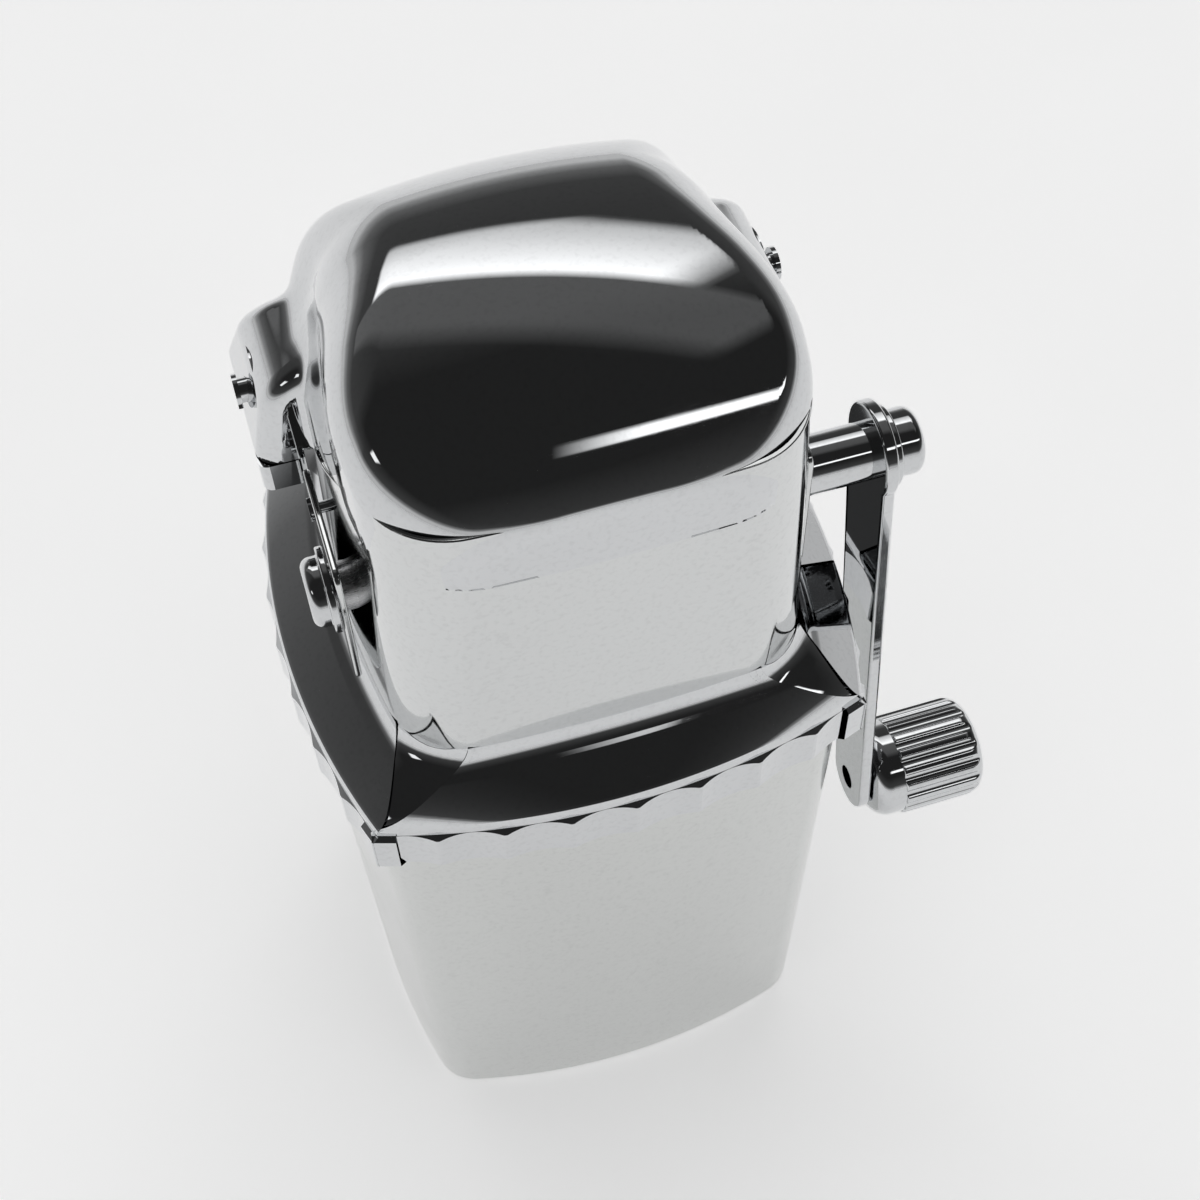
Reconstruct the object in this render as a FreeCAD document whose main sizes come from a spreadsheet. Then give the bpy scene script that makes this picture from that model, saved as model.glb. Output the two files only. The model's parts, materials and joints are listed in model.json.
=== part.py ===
"""Hand crank ice crusher: a fluted chrome base and head that lift off a tapered ice cup.

Millimetres, +Z up.  The origin is the middle of the cup's underside.  The front faces -Y and
the crank is on the +X side.  Every driving dimension is a cell of the sheet "Sizes".
"""
import FreeCAD, Part
import math
import os
import Sketcher
from FreeCAD import Placement, Rotation, Vector

SIZES = {
    # ice cup
    "CupHeight": 154.0, "CupTopHalf": 59.3, "CupBaseHalf": 56.0, "CupBow": 164.0,
    "CupCorner": 11.0, "CupWall": 1.6, "CupFloor": 2.0,
    "PadInset": 5.0, "PadThick": 1.6, "PadStand": 0.6, "PadFit": 0.15,
    # fluted skirt and sloping flange of the base ring
    "SkirtHalf": 62.0, "SkirtBow": 165.0, "SkirtCorner": 8.0, "SkirtLap": 11.0, "SkirtGap": 0.6,
    "RimRise": 3.2, "RimRound": 2.0, "RidgeRise": 1.1, "RidgeTopGap": 2.9, "FluteRadius": 24.3,
    "FluteStep": 4.8, "FluteSkin": 0.05, "FlangeRise": 7.5, "CoveRadius": 7.0, "LedgeBlend": 0.7, "RingRim": 7.0,
    "RingWall": 2.2,
    # housing tower: front shell, rear cover
    "TowerHalf": 47.0, "TowerFront": 50.1, "TowerRear": 41.5, "TowerSideBow": 170.0,
    "TowerFrontBow": 476.0, "TowerCorner": 17.0, "ShellThick": 0.9, "CoverThick": 1.8,
    "ShellRear": 32.0, "JointGap": 0.3, "BarrelHalf": 39.7, "BarrelRadius": 18.5,
    "ShoulderRise": 36.84, "TowerDraft": 2.6,
    # lid
    "LidHalf": 44.8, "LidFront": 50.5, "LidSideBow": 250.0, "LidWall": 1.7, "LidTopRise": 90.24,
    "LidEdgeRise": 67.24, "LidGap": 0.4, "LidCorner": 17.0, "SlopeStart": 36.0,
    "DomeRadius": 53.0, "DomeBack": 4.0, "CrownRadius": 110.0, "DomeRound": 9.0,
    "NoseDrop": 6.5, "NoseRadius": 110.0, "NoseBack": 12.0, "NoseRound": 8.0,
    "BandFront": 27.0, "BandFrontBow": 90.0, "BandCorner": 20.0, "HoodEdgeRise": 53.24,
    "EarHalf": 56.7, "EarFront": 5.0, "EarRear": 41.0, "EarBottomRise": 35.24, "EarTopRise": 68.24,
    "EarTopRear": 22.0, "EarSlope": 4.0, "EarCrown": 6.0, "EarLean": 1.4, "EarShoulder": 12.5, "EarNeck": 43.0, "EarRound": 7.0,
    # lid hinge
    "PivotBack": 20.0, "PivotRise": 42.24, "PivotRadius": 2.5, "PivotBoss": 9.0,
    "PivotHead": 3.6, "PivotHeadThick": 1.0, "EarGap": 0.4, "LipHeight": 7.1, "LipDepth": 11.0,
    "LipGap": 0.4, "RunFit": 0.06,
    # crushing chamber and fixed comb
    "ChamberHalf": 38.5, "ChamberFront": 42.5, "ChamberRear": 4.0, "ChamberWall": 2.0,
    "ChamberRound": 3.0,     "ChamberRise": 63.24, "BaseThick": 2.4, "BaseInset": 2.1,
    "CombThick": 4.0, "CombDepth": 3.0, "CombReach": 11.0, "CombDrop": 4.0,
    # shaft, bearings, rotor
    "ShaftForward": 20.0, "ShaftRise": 24.24, "ShaftRadius": 5.0, "BushRadius": 8.0,
    "BushFlange": 10.5, "BushFlangeThick": 1.5, "PlateThick": 1.6, "PlateRise": 37.24,
    "PlateFront": 38.0, "PlateRear": 2.0,
    "BladeRadius": 18.5, "BladeRoot": 11.0, "BladeThick": 3.0, "BladePitch": 13.2,
    "BladeCount": 5.0, "ToothCount": 4.0, "ToothWidth": 7.0, "SpacerRadius": 8.0,
    # side covers, nuts, crank
    "SideCoverThick": 1.4, "SideCoverFront": 27.0, "SideCoverRear": 3.5,
    "SideCoverRise": 35.24, "SideCoverRound": 3.0, "RivetRadius": 1.2, "RivetHead": 2.4,
    "RivetHeadThick": 0.8, "RivetLowRise": 7.24, "RivetHighRise": 30.24,
    "NutRadius": 7.2, "NutWasher": 8.8, "NutWasherThick": 1.6, "NutLength": 6.0, "NutRound": 2.2,
    "SleeveRadius": 6.25, "SleeveGap": 0.5, "ArmGap": 0.6, "ArmThick": 3.0, "ArmLength": 109.2,
    "ArmTilt": 8.4, "ArmHub": 10.4, "ArmEnd": 8.0,
    "KnobGap": 0.5, "KnobFloat": 0.15, "KnobLength": 29.0, "KnobRadius": 12.5, "KnobRound": 4.0, "KnobPin": 3.0, "KnobPinHead": 4.8,
    "KnobFlutes": 18.0, "KnobFluteRadius": 1.9, "KnobFluteDepth": 0.7, "KnobCapRadius": 8.0,
    "KnobCapThick": 2.0, "KnobCollarRadius": 11.9, "KnobCollarLength": 7.5,
    "KnobCollarRound": 4.5,
    # screws
    "ScrewRadius": 1.6, "ScrewHead": 2.2, "ScrewHeadThick": 1.8, "ScrewLength": 7.0,
    "ScrewSpread": 15.0, "ScrewInset": 4.4,
}


class Size:
    """A length or number of the sheet: its expression text and its present value."""

    def __init__(self, text, value):
        self.text = text
        self.value = value

    def __add__(self, other):
        return join(self, "+", other, self.value + number(other))

    def __radd__(self, other):
        return join(other, "+", self, number(other) + self.value)

    def __sub__(self, other):
        return join(self, "-", other, self.value - number(other))

    def __rsub__(self, other):
        return join(other, "-", self, number(other) - self.value)

    def __mul__(self, other):
        return join(self, "*", other, self.value * number(other))

    __rmul__ = __mul__

    def __truediv__(self, other):
        return join(self, "/", other, self.value / number(other))

    def __neg__(self):
        return join(0, "-", self, -self.value)


def number(item):
    return item.value if isinstance(item, Size) else float(item)


def text(item):
    return item.text if isinstance(item, Size) else repr(item)


def join(left, sign, right, value):
    return Size("(%s %s %s)" % (text(left), sign, text(right)), value)


def sine(angle):
    return Size("sin(%s)" % text(angle), math.sin(math.radians(number(angle))))


def cosine(angle):
    return Size("cos(%s)" % text(angle), math.cos(math.radians(number(angle))))


class Sheet:
    """Writes the sizes into a spreadsheet and hands them out as Size values."""

    def __init__(self, table):
        self.cells = doc.addObject("Spreadsheet::Sheet", "Sizes")
        for row, (alias, value) in enumerate(table.items(), start=1):
            self.cells.set("A%d" % row, alias)
            self.cells.set("B%d" % row, str(value))
            self.cells.setAlias("B%d" % row, alias)
        doc.recompute()

    def __getattr__(self, alias):
        return Size("Sizes." + alias, float(self.cells.get(alias)))


doc = FreeCAD.newDocument("IceCrusher")
d = Sheet(SIZES)
nodes = {}

# ---------------------------------------------------------------- primitives bound to the sheet
TURN = {"x": Rotation(Vector(0, 1, 0), 90), "-x": Rotation(Vector(0, 1, 0), -90),
        "y": Rotation(Vector(1, 0, 0), -90), "z": Rotation()}


def bind(item, **values):
    for prop, value in values.items():
        if isinstance(value, Size):
            item.setExpression(prop, value.text)
        else:
            setattr(item, prop, value)


def place(item, x, y, z, axis="z"):
    item.Placement = Placement(Vector(number(x), number(y), number(z)), TURN[axis])
    for name, value in (("x", x), ("y", y), ("z", z)):
        if isinstance(value, Size):
            item.setExpression("Placement.Base." + name, value.text)
    return item


def box(name, x, y, z, length, width, height):
    item = doc.addObject("Part::Box", name)
    bind(item, Length=length, Width=width, Height=height)
    return place(item, x, y, z)


def cylinder(name, radius, height, x, y, z, axis="z"):
    item = doc.addObject("Part::Cylinder", name)
    bind(item, Radius=radius, Height=height)
    return place(item, x, y, z, axis)


def cut(name, base, *tools):
    item = doc.addObject("Part::Cut", name)
    item.Base = base
    item.Tool = tools[0] if len(tools) == 1 else fuse(name + "Tools", *tools)
    return item


def fuse(name, *shapes):
    item = doc.addObject("Part::MultiFuse", name)
    item.Shapes = list(shapes)
    return item


def common(name, *shapes):
    item = doc.addObject("Part::MultiCommon", name)
    item.Shapes = list(shapes)
    return item


def group(name, *shapes):
    item = doc.addObject("Part::Compound", name)
    item.Links = list(shapes)
    return item


def mirrored(name, source):
    """The same piece on the other side of the YZ plane."""
    item = doc.addObject("Part::Mirroring", name)
    item.Source = source
    item.Normal = Vector(1, 0, 0)
    return item


def rounded(name, base, radius, chosen):
    """A Part fillet on the edges of base that the function chosen accepts."""
    doc.recompute()
    item = doc.addObject("Part::Fillet", name)
    item.Base = base
    size = number(radius)
    item.Edges = [(n, size, size) for n, edge in enumerate(base.Shape.Edges, start=1) if chosen(edge)]
    return item


def node(label, item):
    item.Label = label
    nodes[label] = item
    return item


# ---------------------------------------------------------------- sketches
def plane(body, role):
    return [item for item in body.Origin.OriginFeatures if item.Role == role][0]


def new_sketch(body, name, role, offset=None):
    sketch = body.newObject("Sketcher::SketchObject", name)
    sketch.AttachmentSupport = [(plane(body, role), "")]
    sketch.MapMode = "FlatFace"
    if offset is not None:
        sketch.setExpression("AttachmentOffset.Base.z", text(offset))
    return sketch


def dimension(sketch, kind, *args):
    """Adds a driving constraint whose last argument is a Size or a number."""
    index = sketch.addConstraint(Sketcher.Constraint(kind, *args[:-1], number(args[-1])))
    if isinstance(args[-1], Size):
        sketch.setExpression("Constraints[%d]" % index, args[-1].text)


def outline_arcs(half, deep, bow_side, bow_front, corner):
    """Centres, radii and angles of the eight arcs of a square with bowed sides."""
    side = (half - bow_side, 0.0)
    front = (0.0, deep - bow_front)
    reach = math.hypot(side[0] - front[0], side[1] - front[1])
    near, far = bow_side - corner, bow_front - corner
    along = (near ** 2 - far ** 2 + reach ** 2) / (2 * reach)
    across = math.sqrt(near ** 2 - along ** 2)
    ux, uy = (front[0] - side[0]) / reach, (front[1] - side[1]) / reach
    cx, cy = max((side[0] + along * ux - s * across * uy, side[1] + along * uy + s * across * ux)
                 for s in (1, -1))
    low = math.atan2(cy - side[1], cx - side[0])
    high = math.atan2(cy - front[1], cx - front[0])
    pi = math.pi
    return [(side, bow_side, -low, low), ((cx, cy), corner, low, high),
            (front, bow_front, high, pi - high), ((-cx, cy), corner, pi - high, pi - low),
            ((-side[0], 0.0), bow_side, pi - low, pi + low), ((-cx, -cy), corner, pi + low, pi + high),
            ((0.0, -front[1]), bow_front, pi + high, 2 * pi - high),
            ((cx, -cy), corner, 2 * pi - high, 2 * pi - low)]


class Outline:
    """A square with bowed sides and round corners: half width, front and rear reach, bows."""

    def __init__(self, half, front, rear, side_bow, front_bow, corner):
        self.half, self.front, self.rear = half, front, rear
        self.side_bow, self.front_bow, self.corner = side_bow, front_bow, corner

    def inset(self, wall):
        return Outline(self.half - wall, self.front - wall, self.rear - wall,
                       self.side_bow - wall, self.front_bow - wall, self.corner - wall)

    def towards(self, other, share):
        mix = [a + (b - a) * share for a, b in zip(self.values(), other.values())]
        return Outline(*mix)

    def values(self):
        return (self.half, self.front, self.rear, self.side_bow, self.front_bow, self.corner)

    def sketch(self, body, name, height):
        """The outline drawn in a horizontal sketch of body at the given height."""
        sketch = new_sketch(body, name, "XY_Plane", height)
        deep = (self.front + self.rear) / 2
        middle = (self.rear - self.front) / 2
        arcs = outline_arcs(number(self.half), number(deep), number(self.side_bow),
                            number(self.front_bow), number(self.corner))
        for (cx, cy), radius, start, end in arcs:
            circle = Part.Circle(Vector(cx, cy + number(middle), 0), Vector(0, 0, 1), radius)
            sketch.addGeometry(Part.ArcOfCircle(circle, start, end))
        for n in range(8):
            sketch.addConstraint(Sketcher.Constraint("Tangent", n, 2, (n + 1) % 8, 1))
            if n % 2:
                dimension(sketch, "Radius", n, self.corner)
        for n, sign in ((0, -1), (4, 1)):
            dimension(sketch, "Radius", n, self.side_bow)
            dimension(sketch, "DistanceX", n, 3, (self.side_bow - self.half) * sign)
            dimension(sketch, "DistanceY", n, 3, middle)
        for n, sign in ((2, -1), (6, 1)):
            dimension(sketch, "Radius", n, self.front_bow)
            sketch.addConstraint(Sketcher.Constraint("PointOnObject", n, 3, -2))
            dimension(sketch, "DistanceY", n, 3, middle + (self.front_bow - deep) * sign)
        return sketch


def loft(name, sections, hollow=()):
    """A body lofted through (outline, height) sections, minus lofts through the hollow lists."""
    body = doc.addObject("PartDesign::Body", name)
    for n, run in enumerate([sections] + list(hollow)):
        kind = "PartDesign::SubtractiveLoft" if n else "PartDesign::AdditiveLoft"
        sketches = [shape.sketch(body, "%sRun%dSection%d" % (name, n, k), height)
                    for k, (shape, height) in enumerate(run)]
        feature = body.newObject(kind, "%sLoft%d" % (name, n))
        feature.Profile = sketches[0]
        feature.Sections = sketches[1:]
        feature.Ruled = True
    return body


def prism(name, role, points, half_length, centre=0):
    """A closed polygon on an origin plane, padded half_length to each side of centre."""
    body = doc.addObject("PartDesign::Body", name)
    sketch = new_sketch(body, name + "Sketch", role, centre)
    count = len(points)
    spots = [Vector(number(a), number(b), 0) for a, b in points]
    for n in range(count):
        sketch.addGeometry(Part.LineSegment(spots[n], spots[(n + 1) % count]))
    for n in range(count):
        sketch.addConstraint(Sketcher.Constraint("Coincident", n, 2, (n + 1) % count, 1))
        dimension(sketch, "DistanceX", n, 1, points[n][0])
        dimension(sketch, "DistanceY", n, 1, points[n][1])
    pad = body.newObject("PartDesign::Pad", name + "Pad")
    pad.Profile = sketch
    pad.Midplane = True
    pad.setExpression("Length", text(half_length * 2))
    return body


# ---------------------------------------------------------------- shared places and outlines
SKIRT = Outline(d.SkirtHalf, d.SkirtHalf, d.SkirtHalf, d.SkirtBow, d.SkirtBow, d.SkirtCorner)
TOWER = Outline(d.TowerHalf, d.TowerFront, d.TowerRear, d.TowerSideBow, d.TowerFrontBow,
                d.TowerCorner)
CUP_TOP = Outline(d.CupTopHalf, d.CupTopHalf, d.CupTopHalf, d.CupBow, d.CupBow, d.CupCorner)
CUP_BASE = Outline(d.CupBaseHalf, d.CupBaseHalf, d.CupBaseHalf, d.CupBow, d.CupBow, d.CupCorner)

SKIRT_FOOT = d.CupHeight - d.SkirtLap
RIM_TOP = d.CupHeight + d.RimRise
COVE_ANGLE = 60
COVE_SHARE = 0.27
SLOPE_SHARE = 0.93
TOWER_FOOT = RIM_TOP + d.FlangeRise + d.CoveRadius * math.sin(math.radians(COVE_ANGLE))
SHAFT_Y = -d.ShaftForward
SHAFT_Z = TOWER_FOOT + d.ShaftRise
SHOULDER_Z = TOWER_FOOT + d.ShoulderRise
LID_EDGE_Z = TOWER_FOOT + d.LidEdgeRise
LID_TOP_Z = TOWER_FOOT + d.LidTopRise
HOOD_EDGE_Z = TOWER_FOOT + d.HoodEdgeRise
EAR_BOTTOM_Z = TOWER_FOOT + d.EarBottomRise
EAR_TOP_Z = TOWER_FOOT + d.EarTopRise
PIVOT_Z = TOWER_FOOT + d.PivotRise
CHAMBER_TOP_Z = TOWER_FOOT + d.ChamberRise
PLATE_TOP_Z = TOWER_FOOT + d.PlateRise
COVER_TOP_Z = TOWER_FOOT + d.SideCoverRise
RIVET_HEIGHTS = (TOWER_FOOT + d.RivetLowRise, TOWER_FOOT + d.RivetHighRise)
ARM_INNER = d.SkirtHalf + d.RidgeRise + d.ArmGap
ARM_END_Y = SHAFT_Y - d.ArmLength * sine(d.ArmTilt)
ARM_END_Z = SHAFT_Z - d.ArmLength * cosine(d.ArmTilt)
ARM_OUTER = ARM_INNER + d.ArmThick
SHELL_TOP = LID_EDGE_Z - d.LidGap
COVER_INNER = d.TowerHalf + d.JointGap
COVER_OUTER = COVER_INNER + d.SideCoverThick
BASE_TOP = TOWER_FOOT + d.BaseThick
REACH = 200.0


# ---------------------------------------------------------------- ice cup
def make_cup():
    floor = d.PadStand + d.CupFloor
    cup = loft("IceCup", [(CUP_BASE, d.PadStand), (CUP_TOP, d.CupHeight)],
               [[(CUP_BASE.inset(d.CupWall), floor), (CUP_TOP.inset(d.CupWall), d.CupHeight + 1)],
                [(CUP_BASE.inset(d.PadInset), 0 * floor),
                 (CUP_BASE.inset(d.PadInset), d.PadThick)]])
    node("ice_cup", cup)
    outline = CUP_BASE.inset(d.PadInset + d.PadFit)
    node("base_pad", loft("BasePad", [(outline, 0 * floor), (outline, d.PadThick)]))


# ---------------------------------------------------------------- base ring
def ring_sections():
    """Outline and height from the skirt's foot over the ridges' tops and the rim, up the slope
    and the cove."""
    ridge = SKIRT.inset(0 - d.RidgeRise)
    sections = [(ridge, SKIRT_FOOT), (ridge, RIM_TOP - d.RidgeTopGap - d.RidgeRise),
                (SKIRT, RIM_TOP - d.RidgeTopGap)]
    for angle in (0, 35, 70):
        turn = math.radians(angle)
        share = SLOPE_SHARE + (1 - SLOPE_SHARE) * math.cos(turn)
        sections.append((TOWER.towards(SKIRT, share), RIM_TOP - d.RimRound * (1 - math.sin(turn))))
    last = math.radians(COVE_ANGLE)
    for angle in (COVE_ANGLE, 40, 20, 0):
        turn = math.radians(angle)
        share = COVE_SHARE * (1 - math.cos(turn)) / (1 - math.cos(last))
        sections.append((TOWER.towards(SKIRT, share), TOWER_FOOT - d.CoveRadius * math.sin(turn)))
    return sections


def flute_pocket(ring):
    """Eight hollow flutes along one side of the skirt, repeated round the four sides."""
    sketch = new_sketch(ring, "FluteSketch", "XY_Plane", SKIRT_FOOT)
    reach = d.SkirtBow + d.FluteSkin + d.FluteRadius
    for n in range(FLUTES_PER_SIDE):
        angle = (n - (FLUTES_PER_SIDE - 1) / 2) * d.FluteStep
        x = reach * sine(angle)
        y = d.SkirtBow - d.SkirtHalf - reach * cosine(angle)
        centre = Vector(number(x), number(y), 0)
        sketch.addGeometry(Part.Circle(centre, Vector(0, 0, 1), number(d.FluteRadius)))
        dimension(sketch, "Radius", n, d.FluteRadius)
        dimension(sketch, "DistanceX", n, 3, x)
        dimension(sketch, "DistanceY", n, 3, y)
    pocket = ring.newObject("PartDesign::Pocket", "Flutes")
    pocket.Profile = sketch
    pocket.Reversed = True
    pocket.setExpression("Length", text(d.SkirtLap + d.RimRise - d.RidgeTopGap + d.FluteSkin))
    doc.recompute()
    pattern = ring.newObject("PartDesign::PolarPattern", "FlutesRound")
    pattern.Originals = [pocket]
    pattern.Axis = (plane_axis(ring), [""])
    pattern.Angle = 360
    pattern.Occurrences = 4
    ring.Tip = pattern


def plane_axis(body):
    return [item for item in body.Origin.OriginFeatures if item.Role == "Z_Axis"][0]


def make_base_ring():
    inner = CUP_TOP.inset(0 - d.SkirtGap)
    ledge = TOWER.towards(SKIRT, d.LedgeBlend).inset(d.RingWall)
    mouth = TOWER.inset(d.RingRim)
    ring = loft("BaseRing", ring_sections(),
                [[(inner, SKIRT_FOOT - 1), (inner, d.CupHeight)],
                 [(ledge, d.CupHeight - 1), (mouth, TOWER_FOOT - d.CoveRadius),
                  (mouth, TOWER_FOOT + 1)]])
    flute_pocket(ring)
    holes = [cylinder("RingScrewHole%d" % n, d.ScrewRadius, d.ScrewLength, x, y,
                      BASE_TOP - d.ScrewLength) for n, (x, y) in enumerate(SCREW_SPOTS)]
    node("base_ring", cut("BaseRingDrilled", ring, *holes))


# ---------------------------------------------------------------- housing
def shaft_hole(name, radius):
    """A drill along the shaft through both sides of the tower."""
    return cylinder(name, radius, 2 * REACH, Size("0", 0) - REACH, SHAFT_Y, SHAFT_Z, "x")


def tower_at(height):
    """The tower's outline at a height: its sides lean in towards the shell's top edge."""
    lean = d.TowerDraft * (height - TOWER_FOOT) / (SHELL_TOP - TOWER_FOOT)
    return Outline(TOWER.half - lean, *TOWER.values()[1:])


def tower_ring(name, wall, top):
    inner = [(tower_at(z).inset(wall), z) for z in (TOWER_FOOT - 1, top + 1)]
    return loft(name, [(TOWER, TOWER_FOOT), (tower_at(top), top)], [inner])


def make_housing_shell():
    """Polished sheet round the front and both sides, its top edge falling to the ears."""
    ring = tower_ring("ShellRing", d.ShellThick, SHELL_TOP)
    far = -REACH
    side = prism("ShellSide", "YZ_Plane",
                 [(far, TOWER_FOOT - 1), (far, SHELL_TOP + 1), (-d.SlopeStart, SHELL_TOP + 1),
                  (-d.SlopeStart, SHELL_TOP), (d.EarFront - d.LidGap, SHOULDER_Z),
                  (d.ShellRear, SHOULDER_Z), (d.ShellRear, TOWER_FOOT - 1)], REACH * ONE)
    holes = [cylinder("ShellRivetHole%d" % n, d.RivetRadius, 2 * REACH, Size("0", 0) - REACH,
                      RIVET_Y, z, "x") for n, z in enumerate(RIVET_HEIGHTS)]
    shell = cut("ShellDrilled", common("ShellTrimmed", ring, side),
                shaft_hole("ShellShaftHole", d.SleeveRadius + d.SleeveGap), *holes)
    node("housing_shell", shell)


def barrel(name, wall):
    """The round-backed upper part of the rear cover, under the lid's hood."""
    half = d.BarrelHalf - wall
    radius = d.BarrelRadius - wall
    low = SHOULDER_Z - d.CoverThick - wall
    front = d.EarFront - wall
    turned = cylinder(name + "Turned", radius, half * 2, -half, d.PivotBack, PIVOT_Z, "x")
    deck = box(name + "Deck", -half, front, low, half * 2, d.PivotBack - front,
               PIVOT_Z + radius - low)
    back = box(name + "Back", -half, d.PivotBack, low, half * 2, radius, PIVOT_Z - low)
    limit = box(name + "Limit", -half, front, low, half * 2, REACH * ONE, REACH * ONE)
    return common(name, fuse(name + "Form", turned, deck, back), limit)


def make_rear_cover():
    """The back of the tower, the shoulders beside it and the barrel that carries the hinge."""
    wall = d.CoverThick
    wrap = common("CoverWrap", tower_ring("CoverRing", wall, SHOULDER_Z),
                  box("CoverRear", -REACH * ONE, d.ShellRear + d.JointGap, TOWER_FOOT - 1,
                      2 * REACH * ONE, REACH * ONE, REACH * ONE))
    inner = tower_at(SHOULDER_Z).inset(d.ShellThick + d.JointGap)
    shelf_low = SHOULDER_Z - wall
    shelf = common("CoverShelf", loft("ShelfPlate", [(inner, shelf_low), (inner, SHOULDER_Z)]),
                   box("ShelfRear", -REACH * ONE, d.EarFront, shelf_low - 1, 2 * REACH * ONE,
                       REACH * ONE, REACH * ONE))
    cover = cut("CoverHollow", fuse("CoverForm", wrap, shelf, barrel("BarrelOut", 0 * wall)),
                barrel("BarrelIn", wall))
    node("rear_cover", cover)


def side_cover(name, side, bore):
    """A plate outside the shell round the shaft, and the two rivets that hold it."""
    start = COVER_INNER if side > 0 else -COVER_OUTER
    blank = box(name + "Blank", start, -d.SideCoverFront, TOWER_FOOT + d.JointGap, d.SideCoverThick,
                d.SideCoverFront + d.SideCoverRear, COVER_TOP_Z - TOWER_FOOT - d.JointGap)
    tools = [shaft_hole(name + "Hole", bore)]
    for n, z in enumerate(RIVET_HEIGHTS):
        tools.append(cylinder("%sRivetHole%d" % (name, n), d.RivetRadius, d.SideCoverThick, start,
                              RIVET_Y, z, "x"))
    return cut(name, rounded(name + "Round", blank, d.SideCoverRound, along_x), *tools)


def rivet(name, z):
    inner = tower_at(z).half - d.ShellThick
    stem = cylinder(name + "Stem", d.RivetRadius, COVER_OUTER - inner, inner, RIVET_Y, z, "x")
    head = cylinder(name + "Head", d.RivetHead, d.RivetHeadThick, COVER_OUTER, RIVET_Y, z, "x")
    return fuse(name, stem, head)


def make_side_covers():
    node("right_side_cover", side_cover("CoverRight", 1, d.SleeveRadius + d.SleeveGap))
    node("left_side_cover", side_cover("CoverLeft", -1, d.ShaftRadius + d.SleeveGap))
    right = [rivet("Rivet%d" % n, z) for n, z in enumerate(RIVET_HEIGHTS)]
    left = [mirrored("RivetLeft%d" % n, item) for n, item in enumerate(right)]
    node("cover_rivets", group("CoverRivets", *right, *left))


def along_x(edge):
    return edge.BoundBox.YLength < 0.01 and edge.BoundBox.ZLength < 0.01


def along_y(edge):
    return edge.BoundBox.XLength < 0.01 and edge.BoundBox.ZLength < 0.01


# ---------------------------------------------------------------- crushing chamber
def make_chamber():
    half, wall = d.ChamberHalf, d.ChamberWall
    depth = d.ChamberFront + d.ChamberRear
    plate = loft("ChamberPlate", [(TOWER.inset(d.BaseInset), TOWER_FOOT),
                                  (TOWER.inset(d.BaseInset), BASE_TOP)])
    outer = box("ChamberOuter", -half, -d.ChamberFront, TOWER_FOOT, half * 2, depth,
                CHAMBER_TOP_Z - TOWER_FOOT)
    soft = rounded("ChamberSoft", outer, d.ChamberRound, upright)
    inner = box("ChamberInner", wall - half, wall - d.ChamberFront, TOWER_FOOT - 1,
                (half - wall) * 2, depth - wall * 2, CHAMBER_TOP_Z - TOWER_FOOT + 2)
    inside = rounded("ChamberInside", inner, d.ChamberRound - wall, upright)
    tools = [inside, shaft_hole("ChamberShaftHole", d.BushRadius)]
    for n, (x, y) in enumerate(SCREW_SPOTS):
        tools.append(cylinder("PlateScrewHole%d" % n, d.ScrewRadius, d.BaseThick + 2, x, y,
                              TOWER_FOOT - 1))
    for n, x in enumerate(COMB_SCREW_X):
        tools.append(cylinder("CombScrewHole%d" % n, d.ScrewRadius, wall + 2, x,
                              d.ChamberRear - wall - 1, COMB_SCREW_Z, "y"))
    node("crusher_chamber", cut("Chamber", fuse("ChamberForm", plate, soft), *tools))


def upright(edge):
    return edge.BoundBox.XLength < 0.01 and edge.BoundBox.YLength < 0.01


def screw(name, x, y, z, length, axis="z"):
    """A cheese-head screw: the head starts at the given point and the thread goes back."""
    head = cylinder(name + "Head", d.ScrewHead, d.ScrewHeadThick, x, y, z, axis)
    step = {"z": (0, 0, 1), "y": (0, 1, 0)}[axis]
    spot = [a - length * b if b else a for a, b in zip((x, y, z), step)]
    return fuse(name, head, cylinder(name + "Thread", d.ScrewRadius, length, *spot, axis))


def make_chamber_screws():
    screws = [screw("ChamberScrew%d" % n, x, y, BASE_TOP, d.ScrewLength)
              for n, (x, y) in enumerate(SCREW_SPOTS)]
    node("chamber_screws", group("ChamberScrews", *screws))
    screws = [screw("CombScrew%d" % n, x, d.ChamberRear, COMB_SCREW_Z, d.ChamberWall + d.CombDepth,
                    "y")
              for n, x in enumerate(COMB_SCREW_X)]
    node("comb_screws", group("CombScrews", *screws))


def make_comb():
    """The fixed comb: a bar on the rear wall whose fingers stand between the blades."""
    inner = d.ChamberHalf - d.ChamberRound - d.JointGap
    back = d.ChamberRear - d.ChamberWall
    low = SHAFT_Z - d.CombDrop - d.CombThick
    bar = box("CombBar", -inner, back - d.CombDepth, low, inner * 2, d.CombDepth, d.CombThick * 2)
    tip = SHAFT_Y + d.CombReach
    width = d.BladePitch - d.BladeThick - 2 * d.CombDepth
    fingers = [bar]
    for n in range(BLADES + 1):
        x = (n - BLADES / 2) * d.BladePitch - width / 2
        fingers.append(box("CombFinger%d" % n, x, tip, low, width, back - tip, d.CombThick))
    holes = [cylinder("CombHole%d" % n, d.ScrewRadius, d.CombDepth + 2, x, back - d.CombDepth - 1,
                      COMB_SCREW_Z, "y") for n, x in enumerate(COMB_SCREW_X)]
    node("fixed_comb", cut("CombDrilled", fuse("CombForm", *fingers), *holes))


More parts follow.
